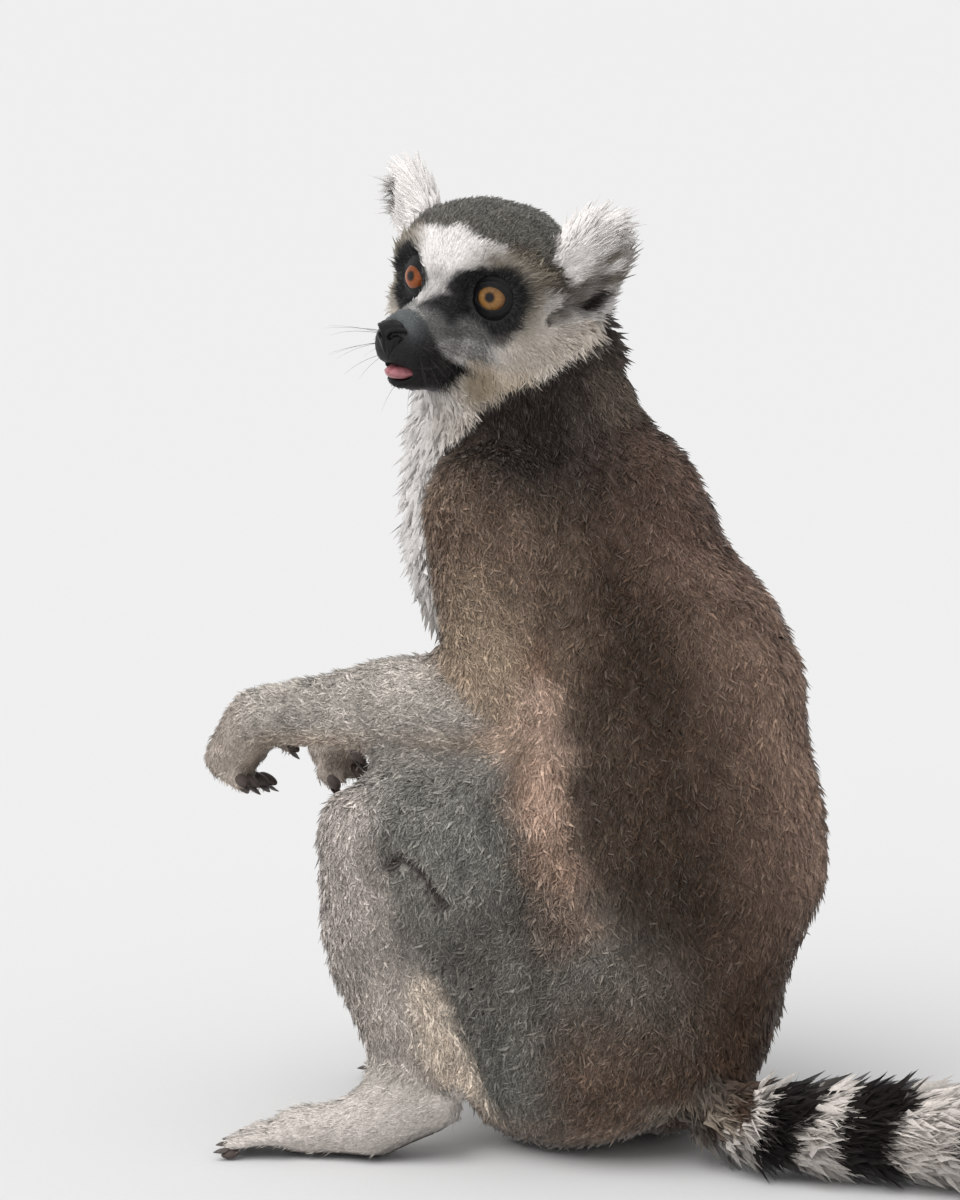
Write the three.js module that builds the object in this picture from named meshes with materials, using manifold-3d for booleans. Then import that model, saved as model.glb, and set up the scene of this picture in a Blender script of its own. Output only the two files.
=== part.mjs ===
// A ring-tailed lemur sitting on its rump, life size: the body as a still model of named parts.
// Millimetres. +X is the animal's left, -Y its front, +Z up. The origin is the centre of the
// flat under the rump. Every solid reaches out to the tips of the coat.
import * as THREE from "three";
import { mergeVertices } from "three/addons/utils/BufferGeometryUtils.js";
import Module from "manifold-3d";

const wasm = await Module();
wasm.setup();

// ---------------------------------------------------------------- driving dimensions
const CUT = 0.35; // gap between neighbouring parts

// The head's own frame has its origin midway between the two corneas.
const HEAD_AT = new THREE.Vector3(35, -61, 352);
const HEAD_TURN = THREE.MathUtils.degToRad(80.5); // it looks over the left shoulder
const HEAD_ROLL = THREE.MathUtils.degToRad(10); // left ear lower than the right
const HEAD_DROP = THREE.MathUtils.degToRad(4); // nose a little down

const EYE_RADIUS = 8.8;
const EYE_HALF_GAP = 18.3; // eyeball centre to the head's midline
const EYE_DEPTH = 6.5; // eyeball centre behind the corneas

const FUR = { white: 0xe9e5e0, grey: 0x8f8d8c, brown: 0x6f625b, dark: 0x2b2a2b };

const v = (x, y, z) => new THREE.Vector3(x, y, z);

// ---------------------------------------------------------------- fields
// A field gives about how far a point lies outside a shape, and is negative inside it.
function egg(centre, radii, turn = new THREE.Quaternion()) {
  const back = turn.clone().invert();
  const p = new THREE.Vector3();
  return (q) => {
    p.copy(q).sub(centre).applyQuaternion(back);
    const near = Math.hypot(p.x / radii.x, p.y / radii.y, p.z / radii.z);
    const slope = Math.hypot(p.x / radii.x ** 2, p.y / radii.y ** 2, p.z / radii.z ** 2);
    return slope < 1e-9 ? -Math.min(radii.x, radii.y, radii.z) : (near * (near - 1)) / slope;
  };
}

// A straight limb that tapers from one round end to the other.
function bone(start, end, startRadius, endRadius) {
  const along = end.clone().sub(start);
  const lengthSq = along.lengthSq();
  const p = new THREE.Vector3();
  return (q) => {
    const t = THREE.MathUtils.clamp(p.copy(q).sub(start).dot(along) / lengthSq, 0, 1);
    const radius = THREE.MathUtils.lerp(startRadius, endRadius, t);
    return p.copy(start).addScaledVector(along, t).distanceTo(q) - radius;
  };
}

// Joins fields with a fillet about as wide as the blend.
function blend(width, ...fields) {
  return (q) =>
    fields.reduce((so, field) => {
      const d = field(q);
      if (so === null) return d;
      const h = Math.max(width - Math.abs(so - d), 0) / width;
      return Math.min(so, d) - (h * h * width) / 4;
    }, null);
}

// Sinks hollows into a field, with edges rounded about as wide as the blend.
function hollow(width, field, ...cavities) {
  const filled = cavities.map((cavity) => (q) => -cavity(q));
  return (q) =>
    filled.reduce((so, outside) => {
      const d = outside(q);
      const h = Math.max(width - Math.abs(so - d), 0) / width;
      return Math.max(so, d) + (h * h * width) / 4;
    }, field(q));
}

// ---------------------------------------------------------------- skins
// Walks outwards from a point inside a field until it leaves the shape.
function surfaceFrom(field, from, direction, level) {
  const STEP = 1.5;
  const REACH = 140;
  const q = new THREE.Vector3();
  const at = (d) => field(q.copy(from).addScaledVector(direction, d)) - level;
  let inner = 0;
  while (inner < REACH && at(inner + STEP) < 0) inner += STEP;
  let outer = inner + STEP;
  for (let i = 0; i < 20; i++) {
    const middle = (inner + outer) / 2;
    if (at(middle) < 0) inner = middle;
    else outer = middle;
  }
  return from.clone().addScaledVector(direction, inner);
}

// A closed mesh on a field's surface: rings square to an axis curve inside it, with a pole at
// each end. side keeps the rings from twisting.
function wrap(field, axis, rings, sides, side = v(1, 0, 0), level = 0) {
  const bare = new THREE.CatmullRomCurve3(axis, false, "centripetal");
  const startPole = surfaceFrom(field, axis[0], bare.getTangent(0).negate(), level);
  const endPole = surfaceFrom(field, axis.at(-1), bare.getTangent(1), level);
  const whole = new THREE.CatmullRomCurve3([startPole, ...axis, endPole], false, "centripetal");
  const points = [startPole];
  for (let ring = 1; ring <= rings; ring++) {
    const even = ring / (rings + 1);
    const eased = (1 - Math.cos(Math.PI * even)) / 2; // closer rings at the round ends
    const t = even * 0.45 + eased * 0.55;
    const centre = whole.getPointAt(t);
    const tangent = whole.getTangentAt(t);
    const across = side.clone().addScaledVector(tangent, -side.dot(tangent)).normalize();
    const up = tangent.clone().cross(across);
    for (let i = 0; i < sides; i++) {
      const angle = (2 * Math.PI * i) / sides;
      const out = across.clone().multiplyScalar(Math.cos(angle)).addScaledVector(up, Math.sin(angle));
      points.push(surfaceFrom(field, centre, out, level));
    }
  }
  points.push(endPole);
  const faces = [];
  const last = points.length - 1;
  const at = (ring, i) => 1 + ring * sides + (i % sides);
  for (let i = 0; i < sides; i++) {
    faces.push(0, at(0, i + 1), at(0, i));
    faces.push(last, at(rings - 1, i), at(rings - 1, i + 1));
    for (let ring = 0; ring < rings - 1; ring++) {
      faces.push(at(ring, i), at(ring, i + 1), at(ring + 1, i));
      faces.push(at(ring, i + 1), at(ring + 1, i + 1), at(ring + 1, i));
    }
  }
  const geometry = new THREE.BufferGeometry().setFromPoints(points);
  geometry.setIndex(faces);
  return geometry;
}

// ---------------------------------------------------------------- solids
function solidOf(geometry) {
  const bare = geometry.clone();
  bare.deleteAttribute("normal");
  bare.deleteAttribute("uv");
  const merged = mergeVertices(bare, 1e-4);
  const triVerts = new Uint32Array(merged.index.array);
  const vertProperties = merged.attributes.position.array;
  return new wasm.Manifold(new wasm.Mesh({ numProp: 3, vertProperties, triVerts }));
}

// Keeps the largest piece of a cut solid, as a cut can leave slivers.
function largest(solid) {
  return solid.decompose().reduce((best, s) => (s.volume() > best.volume() ? s : best));
}

// A part as a solid, with a twin that is larger by the cut, which its neighbours lose.
function fleshed(field, axis, rings, sides, side) {
  return {
    solid: solidOf(wrap(field, axis, rings, sides, side)),
    room: solidOf(wrap(field, axis, rings, sides, side, CUT)),
  };
}

const ground = solidOf(new THREE.BoxGeometry(2000, 2000, 400).translate(0, 0, -200));

// A thick slab whose lower face lies at a point, square to a direction.
function slab(at, direction) {
  const size = 400;
  const box = new THREE.BoxGeometry(size, size, size).translate(0, 0, size / 2);
  const turn = new THREE.Quaternion().setFromUnitVectors(v(0, 0, 1), direction.clone().normalize());
  box.applyQuaternion(turn);
  box.translate(at.x, at.y, at.z);
  return solidOf(box);
}

// Parts two solids that meet where a limb bends, by a plane through the joint. The share is how
// far round it lies from the lower piece to the upper: 0.5 halves the bend. The upper piece is
// cut only above a height, where it is the lower piece's room that shapes it further down.
function partAt(before, joint, after, upper, lower, share = 0.5, downTo = 0) {
  const back = before.clone().sub(joint).normalize();
  const onwards = after.clone().sub(joint).normalize();
  const fold = back.angleTo(onwards);
  const hinge = onwards.clone().cross(back).normalize();
  const normal = onwards.applyAxisAngle(hinge, fold * share - Math.PI / 2);
  const above = joint.clone().addScaledVector(normal, -CUT / 2);
  const below = joint.clone().addScaledVector(normal, CUT / 2);
  const overUpper = slab(above, normal).intersect(slab(v(0, 0, downTo), v(0, 0, 1)));
  return [upper.subtract(overUpper), lower.subtract(slab(below, normal.clone().negate()))];
}

const lemur = new THREE.Group();

function add(name, solid, colour, roughness = 0.95) {
  const { numProp, vertProperties, triVerts } = largest(solid.subtract(ground)).getMesh();
  const geometry = new THREE.BufferGeometry();
  const count = vertProperties.length / numProp;
  const points = new Float32Array(count * 3);
  for (let i = 0; i < count; i++)
    points.set(vertProperties.subarray(i * numProp, i * numProp + 3), i * 3);
  geometry.setAttribute("position", new THREE.BufferAttribute(points, 3));
  geometry.setIndex(new THREE.BufferAttribute(triVerts, 1));
  geometry.computeVertexNormals();
  const material = new THREE.MeshStandardMaterial({ color: colour, roughness, metalness: 0 });
  const mesh = new THREE.Mesh(geometry, material);
  mesh.name = name;
  lemur.add(mesh);
}

// ---------------------------------------------------------------- head
const headTurn = new THREE.Quaternion().setFromEuler(
  new THREE.Euler(HEAD_DROP, HEAD_ROLL, HEAD_TURN, "ZYX"),
);
const inHead = (x, y, z) => v(x, y, z).applyQuaternion(headTurn).add(HEAD_AT);
const headEgg = (at, radii) => egg(inHead(...at), v(...radii), headTurn);
const headBone = (a, b, ra, rb) => bone(inHead(...a), inHead(...b), ra, rb);
const pair = (make) => [make(1), make(-1)];

const skull = blend(
  9,
  headEgg([0, 28, 6], [29, 34, 28]), // braincase
  headEgg([0, 10, 12], [25, 20, 16]), // forehead
  headBone([0, 6, -14], [0, -24.5, -18.5], 15, 8.8), // muzzle
  headBone([0, 8, -3], [0, -29, -13], 9, 6), // bridge of the nose
  headEgg([0, -31.5, -16.5], [5.8, 8, 6.8]), // nose bulb
  headBone([0, 14, -28], [0, -29, -33.6], 15, 6.4), // lower jaw
  ...pair((s) => headEgg([s * 6, -23, -21.5], [6.5, 12, 6.5])), // upper lips
  ...pair((s) => headEgg([s * 17, 19, -17], [16, 20, 17])), // cheeks
  ...pair((s) => headEgg([s * 25, 19, -5], [16, 20, 20])), // sides of the face
  ...pair((s) => headEgg([s * 24, 24, 8], [15, 18, 18])), // temples
  ...pair((s) => headEgg([s * 25, 29, -19], [20, 25, 25])), // ruff under the ears
);
const sockets = pair((s) => headEgg([s * 22.5, -5, 0], [10, 9, 10]));
const headField = hollow(5, skull, ...sockets);
const headAxis = [
  inHead(0, -33.5, -17),
  inHead(0, -25, -20),
  inHead(0, -8, -15),
  inHead(0, 15, -3),
  inHead(0, 45, 0),
];
const head = fleshed(headField, headAxis, 21, 20, inHead(1, 0, 0).sub(HEAD_AT));

const eyes = {};
for (const [name, side] of [["eye_l", 1], ["eye_r", -1]]) {
  const centre = inHead(side * EYE_HALF_GAP, EYE_DEPTH, 0);
  const ball = (radius) =>
    solidOf(new THREE.SphereGeometry(radius, 12, 8).translate(centre.x, centre.y, centre.z));
  eyes[name] = { solid: ball(EYE_RADIUS), room: ball(EYE_RADIUS + CUT) };
}

// The mouth stands a little open in front, and the tongue shows in it.
const mouthField = headEgg([0, -29, -29.8], [9.5, 12.5, 3.5]);
const mouth = solidOf(wrap(mouthField, [inHead(0, -33, -29.8), inHead(0, -25, -29.8)], 5, 12));
const tongueField = headEgg([1, -28.5, -30], [5.6, 9.8, 2.7]);
const tongue = solidOf(wrap(tongueField, [inHead(1, -31, -30), inHead(1, -25, -30)], 5, 10));
const noseField = blend(
  3,
  headEgg([0, -36.7, -13.5], [6.6, 4.6, 5.2]),
  headEgg([0, -36.1, -18.5], [3.2, 4.2, 4.5]),
);
const nose = fleshed(noseField, [inHead(0, -37, -13), inHead(0, -36, -18.5)], 6, 12);

// ---------------------------------------------------------------- ears
// Each ear is a shallow cup on a short stem, drawn out to the tips of its long fringe.
function earField(side) {
  const stem = headBone([side * 26, 27, 2], [side * 38, 29, 10], 12, 14);
  const lean = THREE.MathUtils.degToRad(28); // outwards from upright
  const turn = new THREE.Quaternion().setFromEuler(new THREE.Euler(0, side * lean, side * 0.35));
  turn.premultiply(headTurn);
  const leaf = egg(inHead(side * 45, 31, 16), v(16.5, 8, 27), turn);
  const cup = egg(inHead(side * 49, 17, 14), v(9, 10, 18), turn);
  return hollow(4, blend(8, stem, leaf), cup);
}
const ears = {};
for (const [name, side] of [["ear_l", 1], ["ear_r", -1]]) {
  const axis = [inHead(side * 32, 28, 0), inHead(side * 43, 30, 13), inHead(side * 51, 31, 28)];
  ears[name] = fleshed(earField(side), axis, 7, 12, inHead(0, 1, 0).sub(HEAD_AT));
}

// ---------------------------------------------------------------- neck and trunk
const trunkField = blend(
  22,
  egg(v(0, 10, 50), v(56, 58, 54)), // rump
  egg(v(0, 23, 122), v(64, 69, 70)), // loins
  egg(v(0, -18, 110), v(48, 50, 70)), // belly
  egg(v(0, 10, 191), v(59, 71, 62)), // rib cage
  egg(v(0, -18, 256), v(50, 56, 50)), // shoulders
  egg(v(4, -62, 248), v(34, 34, 54)), // fluffed chest
);
const trunkAxis = [
  v(0, 10, 20),
  v(0, 14, 60),
  v(0, 12, 115),
  v(0, 0, 180),
  v(0, -20, 235),
  v(0, -36, 275),
];
const trunk = fleshed(trunkField, trunkAxis, 15, 18);

const neckField = blend(
  16,
  bone(v(0, -29, 276), v(-1, -38, 324), 45, 31.5),
  bone(v(14, -70, 262), v(20, -61, 317), 24, 22), // white throat
);
const neckAxis = [v(3, -40, 268), v(6, -46, 295), v(8, -48, 325)];
const neck = fleshed(neckField, neckAxis, 6, 16);

// ---------------------------------------------------------------- limbs
// Digits taper to the nail. Each row: where it starts and ends, and its radius at the root.
function digit(start, middle, end, root) {
  const field = blend(2, bone(start, middle, root, root * 0.85), bone(middle, end, root * 0.85, root * 0.6));
  return solidOf(wrap(field, [start, middle, end], 3, 6, v(0.13, 0.2, 0.97)));
}

const SIDES = [
  {
    tag: "l",
    shoulder: v(44, -38, 262),
    elbow: v(60, -26, 188),
    wrist: v(50, -145, 171),
    knuckles: v(50, -160, 151),
    hip: v(34, 12, 54),
    knee: v(71, -77, 131),
    ankle: v(80, -58, 36),
    heel: v(79, -46, 24),
    toeRoots: v(100, -100, 9),
  },
  {
    tag: "r",
    shoulder: v(-44, -38, 262),
    elbow: v(-56, -30, 188),
    wrist: v(-18, -132, 166),
    knuckles: v(-12, -146, 146),
    hip: v(-34, 12, 54),
    knee: v(-62, -78, 128),
    ankle: v(-44, -62, 36),
    heel: v(-45, -50, 24),
    toeRoots: v(-22, -104, 9),
  },
];

function armOf({ shoulder, elbow, wrist, knuckles }) {
  const upper = blend(14, bone(shoulder, elbow, 27, 24), egg(shoulder, v(26, 30, 34)));
  const lower = blend(
    10,
    bone(elbow, wrist, 23, 14.5),
    egg(elbow.clone().lerp(wrist, 0.35), v(20, 36, 22)),
  );
  return {
    upper: fleshed(upper, [shoulder, elbow], 6, 11, v(0, 1, 0)),
    lower: fleshed(lower, [elbow, wrist], 8, 11, v(0, 0, 1)),
    palm: bone(wrist, knuckles, 14, 12),
  };
}

function legOf({ hip, knee, ankle, heel, toeRoots }) {
  const out = Math.sign(hip.x);
  const ball = heel.clone().lerp(toeRoots, 0.4).setZ(12.5); // where the sole meets the ground
  const upper = blend(
    18,
    bone(hip, knee, 47, 27),
    egg(hip.clone().lerp(knee, 0.7).add(v(0, 3, 16)), v(28, 42, 41)),
    egg(hip.clone().add(v(out * 11, -20, -6)), v(34, 48, 45)), // ham
    egg(hip.clone().add(v(out * 1, -33, -31)), v(24, 34, 27)), // ham on the ground
  );
  const lower = blend(
    12,
    bone(knee, ankle, 27, 17),
    egg(knee.clone().lerp(ankle, 0.4).add(v(0, -6, 0)), v(22, 26, 38)),
  );
  const sole = blend(
    8,
    bone(ankle, heel, 16, 12),
    bone(ankle, ball, 16, 12),
    bone(heel, ball, 12, 12.5),
    bone(ball, toeRoots, 12.5, 11.5),
  );
  const soleAxis = [heel, ball, toeRoots];
  const across = v(1, 0, 0);
  return {
    upper: fleshed(upper, [hip, knee], 10, 13, across),
    lower: fleshed(lower, [knee, ankle], 8, 11, across),
    foot: fleshed(sole, soleAxis, 7, 10, across),
  };
}

const limbs = SIDES.map((s) => ({ ...s, arm: armOf(s), leg: legOf(s) }));

// ---------------------------------------------------------------- hands and feet
const DIGIT_SPREAD = [-1.5, -0.5, 0.5, 1.5]; // across the hand or foot, in digit widths

function handOf({ wrist, knuckles, arm }, side) {
  const down = knuckles.clone().sub(wrist).normalize();
  const across = v(side, 0.15, 0.1).normalize();
  const inwards = v(-side * 0.15, 1, -0.25).normalize(); // the palm faces back towards the chest
  let hand = solidOf(wrap(arm.palm, [wrist, knuckles], 4, 10, across));
  for (const place of DIGIT_SPREAD) {
    const root = knuckles.clone().addScaledVector(across, place * 6.4).addScaledVector(down, -3);
    const middle = root.clone().addScaledVector(down, 9).addScaledVector(inwards, 5);
    const tip = middle.clone().addScaledVector(down, 4).addScaledVector(inwards, 15);
    tip.addScaledVector(across, place * 2.2);
    hand = hand.add(digit(root, middle, tip, 4.4));
  }
  const thumb = wrist.clone().lerp(knuckles, 0.45).addScaledVector(across, -9);
  const bend = thumb.clone().addScaledVector(across, -6).addScaledVector(inwards, 10);
  const end = bend.clone().addScaledVector(down, 6).addScaledVector(inwards, 10);
  return hand.add(digit(thumb, bend, end, 4.6));
}

function footOf({ heel, toeRoots, leg }, side) {
  const forward = toeRoots.clone().sub(heel).setZ(0).normalize();
  const across = v(0, 0, 1).cross(forward).negate().multiplyScalar(-side); // away from the midline
  let foot = leg.foot.solid;
  const REACHES = [24, 29, 31, 28]; // the second toe is the shortest, the fourth the longest
  DIGIT_SPREAD.forEach((place, i) => {
    const root = toeRoots.clone().addScaledVector(across, place * 6.6).setZ(8.5);
    const middle = root.clone().addScaledVector(forward, REACHES[i] * 0.55).setZ(8);
    const tip = root.clone().addScaledVector(forward, REACHES[i]).setZ(3.6);
    tip.addScaledVector(across, place * 2.6); // the toes spread
    foot = foot.add(digit(root, middle, tip, 4.9));
  });
  const root = heel.clone().lerp(toeRoots, 0.62).addScaledVector(across, -6).setZ(7);
  const middle = root.clone().addScaledVector(across, -12).addScaledVector(forward, 12).setZ(6);
  const tip = middle.clone().addScaledVector(across, -5).addScaledVector(forward, 15).setZ(4.5);
  return foot.add(digit(root, middle, tip, 5.6));
}

// ---------------------------------------------------------------- tail
// The tail leaves the rump on the left, swings back and lies on the ground in one long curve.
const tailPath = new THREE.CatmullRomCurve3(
  [
    v(4, 34, 26),
    v(22, 52, 23),
    v(38, 70, 21),
    v(34, 98, 21),
    v(24, 130, 21.5),
    v(16, 170, 22),
    v(6, 225, 23),
    v(-14, 290, 23.5),
    v(-52, 350, 23.5),
    v(-108, 392, 23),
    v(-172, 406, 22),
    v(-220, 402, 20.5),
  ],
  false,
  "centripetal",
);
const TAIL_LENGTHS = 4;
const TAIL_RADII = [15, 20, 22.5, 23.5, 24.5, 25, 25, 24, 18]; // fluffed out to the hair tips

function tailRadius(t) {
  const place = t * (TAIL_RADII.length - 1);
  const i = Math.min(Math.floor(place), TAIL_RADII.length - 2);
  return THREE.MathUtils.lerp(TAIL_RADII[i], TAIL_RADII[i + 1], place - i);
}

function tailLength(index) {
  const STEPS = 12;
  const from = index / TAIL_LENGTHS;
  const to = (index + 1) / TAIL_LENGTHS;
  const beads = [];
  for (let i = 0; i <= STEPS; i++) {
    const t = THREE.MathUtils.lerp(from, to, i / STEPS);
    beads.push({ at: tailPath.getPointAt(t), radius: tailRadius(t) });
  }
  const bones = beads.slice(1).map((b, i) => bone(beads[i].at, b.at, beads[i].radius, b.radius));
  const field = (q) => Math.min(...bones.map((f) => f(q)));
  let solid = solidOf(wrap(field, beads.filter((_, i) => i % 2 === 0).map((b) => b.at), 7, 10, v(0, 0, 1)));
  if (index > 0) {
    const direction = tailPath.getTangentAt(from);
    solid = solid.subtract(slab(tailPath.getPointAt(from), direction.clone().negate()));
  }
  if (index < TAIL_LENGTHS - 1) {
    const direction = tailPath.getTangentAt(to);
    const end = tailPath.getPointAt(to).addScaledVector(direction, -CUT);
    solid = solid.subtract(slab(end, direction));
  }
  return solid;
}

// ---------------------------------------------------------------- parts, each cut by the ones before
const taken = [];
function carve(name, part, colour, ...more) {
  let solid = part.solid;
  for (const room of [...taken, ...more]) solid = solid.subtract(room);
  add(name, solid, colour);
  if (part.room) taken.push(part.room);
  return solid;
}

for (const [name, eye] of Object.entries(eyes)) {
  add(name, eye.solid, 0xb5652a, 0.1);
  taken.push(eye.room);
}
add("nose", nose.solid, 0x1b1a1c, 0.5);
taken.push(nose.room);
add("tongue", tongue, 0xc97f86, 0.4);
carve("head", head, FUR.white, mouth);
for (const [name, ear] of Object.entries(ears)) carve(name, ear, FUR.white);
carve("neck", neck, FUR.white);

limbs.forEach((limb, i) => {
  const side = i === 0 ? 1 : -1;
  const { tag, arm, leg } = limb;
  const { shoulder, elbow, wrist, knuckles, hip, knee, ankle, toeRoots } = limb;
  let [upperArm, forearm] = partAt(shoulder, elbow, wrist, arm.upper.solid, arm.lower.solid);
  let hand;
  [forearm, hand] = partAt(elbow, wrist, knuckles, forearm, handOf(limb, side));
  const CALF_SHARE = 0.28; // the ham is thicker than the calf that it is folded on
  const FREE_BELOW = 45;
  let [thigh, shin] = partAt(
    hip, knee, ankle, leg.upper.solid, leg.lower.solid, CALF_SHARE, FREE_BELOW,
  );
  let foot;
  [shin, foot] = partAt(knee, ankle, toeRoots, shin, footOf(limb, side));
  carve(`hand_${tag}`, { solid: hand }, FUR.grey);
  carve(`forearm_${tag}`, { solid: forearm, room: arm.lower.room }, FUR.grey);
  carve(`foot_${tag}`, { solid: foot }, FUR.white);
  carve(`shin_${tag}`, { solid: shin }, FUR.grey);
  carve(`thigh_${tag}`, { solid: thigh.subtract(leg.foot.room).subtract(leg.lower.room) }, FUR.grey);
  carve(`upper_arm_${tag}`, { solid: upperArm }, FUR.brown);
  taken.push(arm.upper.room, leg.upper.room, leg.lower.room);
});
carve("trunk", trunk, FUR.brown);
for (let i = 0; i < TAIL_LENGTHS; i++) {
  const solid = tailLength(i);
  carve(`tail_${i + 1}`, { solid }, i % 2 ? FUR.dark : FUR.white);
}

export default lemur;
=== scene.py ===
"""Life-size still model of a ring-tailed lemur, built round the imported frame: one skin and the coat that
grows on it, then eyes, lids, nose, tongue, nails, pads and whiskers, and a plain studio."""

import math

import bpy
import numpy as np
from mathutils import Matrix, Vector
from mathutils.bvhtree import BVHTree


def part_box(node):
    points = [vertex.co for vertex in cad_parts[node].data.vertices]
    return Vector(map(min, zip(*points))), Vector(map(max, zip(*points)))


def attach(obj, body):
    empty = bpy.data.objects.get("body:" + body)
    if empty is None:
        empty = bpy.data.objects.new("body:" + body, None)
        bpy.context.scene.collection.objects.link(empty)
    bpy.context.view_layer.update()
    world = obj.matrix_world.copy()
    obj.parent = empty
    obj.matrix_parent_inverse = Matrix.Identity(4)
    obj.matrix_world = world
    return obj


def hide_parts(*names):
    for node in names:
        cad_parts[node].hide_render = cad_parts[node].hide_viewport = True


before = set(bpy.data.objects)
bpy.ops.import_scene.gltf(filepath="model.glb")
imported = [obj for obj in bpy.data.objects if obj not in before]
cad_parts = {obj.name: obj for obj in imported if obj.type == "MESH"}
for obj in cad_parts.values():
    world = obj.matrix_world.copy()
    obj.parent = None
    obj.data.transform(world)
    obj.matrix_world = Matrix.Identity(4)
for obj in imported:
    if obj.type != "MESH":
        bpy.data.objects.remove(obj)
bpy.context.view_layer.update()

MM = 0.001


# The head's own frame. The head looks over the left shoulder, so everything on it is placed from the line
# through both eyes and from the nose: x to the animal's left, y back and z up, in millimetres.

EYE_SET_BACK = 6.5  # how far the middle of an eye lies behind the front of the face
NOSE_BELOW_EYES = math.radians(19.97)


def middle(node):
    low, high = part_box(node)
    return np.array((low + high) / 2)


def unit(vectors):
    return vectors / np.maximum(np.linalg.norm(vectors, axis=-1, keepdims=True), 1e-12)


between_eyes = (middle("eye_l") + middle("eye_r")) / 2
head_left = unit(middle("eye_l") - middle("eye_r"))
to_nose = middle("nose") - between_eyes
to_nose = unit(to_nose - head_left * (to_nose @ head_left))
square_up = np.cross(head_left, -to_nose)
head_back = -to_nose * math.cos(NOSE_BELOW_EYES) - square_up * math.sin(NOSE_BELOW_EYES)
head_up = np.cross(head_left, head_back)
head_axes = np.stack([head_left, head_back, head_up])
head_origin = between_eyes - head_back * EYE_SET_BACK * MM


def in_head(points):
    """Points of the part's frame, in metres, as the head's own millimetres."""
    return (points - head_origin) @ head_axes.T / MM


def from_head(points):
    """The head's own millimetres as points of the part's frame, in metres."""
    return np.asarray(points, float) * MM @ head_axes + head_origin


# Skin. One hide runs from the lips to the tip of the tail with no seam. It is grown from copies of all the
# packed flesh, joined and remeshed together, evened out, and drawn in by the depth of the coat on it.

SKIN_VOXEL = 2.5 * MM
HEAD_REACH, HEAD_ZOOM = 50 * MM, 1.45  # the head is remeshed larger, so that its mesh comes out finer
BARE = ("eye_l", "eye_r", "tongue")
FLESH = [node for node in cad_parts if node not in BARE]
PARTS = [node[:-2] if node[-2] == "_" else node for node in FLESH]
SWELL = {  # how far each copy swells, in mm, so that the cuts between them close
    "head": 0.45, "nose": 0.45, "ear": 0.45, "neck": 1.2, "trunk": 1.7, "upper_arm": 1.7, "forearm": 1.2,
    "hand": 0.45, "thigh": 1.9, "shin": 1.7, "foot": 0.45, "tail": 1.2,
}


def choose(piece):
    bpy.ops.object.select_all(action="DESELECT")
    piece.select_set(True)
    bpy.context.view_layer.objects.active = piece


def add_object(name, data):
    """A new object at the origin, with a mesh, a lamp or a camera of its own."""
    made = bpy.data.objects.new(name, data)
    bpy.context.scene.collection.objects.link(made)
    return made


def named(piece, name):
    piece.name = piece.data.name = name
    return piece


def edit_all(piece, operation, **settings):
    """Runs one operation of edit mode on the whole of a piece."""
    choose(piece)
    bpy.ops.object.mode_set(mode="EDIT")
    bpy.ops.mesh.select_all(action="SELECT")
    operation(**settings)
    bpy.ops.object.mode_set(mode="OBJECT")


def copy_of(node):
    """A new object with its own merged copy of a CAD node's mesh."""
    piece = add_object(node + "_copy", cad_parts[node].data.copy())
    edit_all(piece, bpy.ops.mesh.remove_doubles, threshold=1e-6)
    return piece


def modify(piece, kind, **settings):
    """Adds a modifier to a piece and applies it."""
    choose(piece)
    added = piece.modifiers.new(kind.title(), kind)
    for key, value in settings.items():
        setattr(added, key, value)
    bpy.ops.object.modifier_apply(modifier=added.name)


def read(collection, key, width=1, kind=np.float32):
    """One property of all of a mesh's vertices, edges, loops or triangles, as an array."""
    values = np.empty(len(collection) * width, kind)
    collection.foreach_get(key, values)
    return values.reshape(-1, width) if width > 1 else values


def points_of(piece):
    return read(piece.data.vertices, "co", 3).astype(float)


def write_points(piece, points):
    piece.data.vertices.foreach_set("co", np.asarray(points, np.float32).ravel())
    piece.data.update()


def web(radii, place):
    """A rounded web of skin that fills a corner between two limbs."""
    bpy.ops.mesh.primitive_uv_sphere_add(segments=24, ring_count=16, radius=1)
    piece = bpy.context.active_object
    write_points(piece, read(piece.data.vertices, "co", 3) * radii + place)
    return piece


copies = []
for node, part in zip(FLESH, PARTS):
    copies.append(copy_of(node))
    modify(copies[-1], "DISPLACE", strength=SWELL[part] * MM, mid_level=0.0)
for letter, sign in (("l", 1), ("r", -1)):
    low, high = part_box("shin_" + letter)
    shank = read(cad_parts["shin_" + letter].data.vertices, "co", 3)
    ankle = shank[shank[:, 2] < low[2] + 0.008].mean(axis=0)
    copies.append(web((0.012, 0.010, 0.021), ankle + (-sign * 0.010, 0.006, 0.010)))
copies.append(web((0.014, 0.012, 0.014), (0.056, -0.026, 0.160)))  # in the arm-pit


def zoomed(points, back=False):
    """Points with the head drawn larger about its middle, and all else moved out to make room for it."""
    away = points - middle("head")
    far = np.maximum(np.linalg.norm(away, axis=1, keepdims=True), 1e-9)
    room = HEAD_REACH * (HEAD_ZOOM - 1)
    if back:
        new = np.where(far < HEAD_REACH * HEAD_ZOOM, far / HEAD_ZOOM, far - room)
    else:
        new = np.where(far < HEAD_REACH, far * HEAD_ZOOM, far + room)
    return middle("head") + away * new / far


def join_up(pieces, name):
    """One piece made of several, with no material yet."""
    bpy.ops.object.select_all(action="DESELECT")
    for piece in pieces:
        piece.select_set(True)
    bpy.context.view_layer.objects.active = pieces[0]
    bpy.ops.object.join()
    whole = named(bpy.context.view_layer.objects.active, name)
    whole.data.materials.clear()
    return whole


skin = join_up(copies, "skin")
write_points(skin, zoomed(points_of(skin)))
modify(skin, "REMESH", mode="VOXEL", voxel_size=SKIN_VOXEL)

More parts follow.
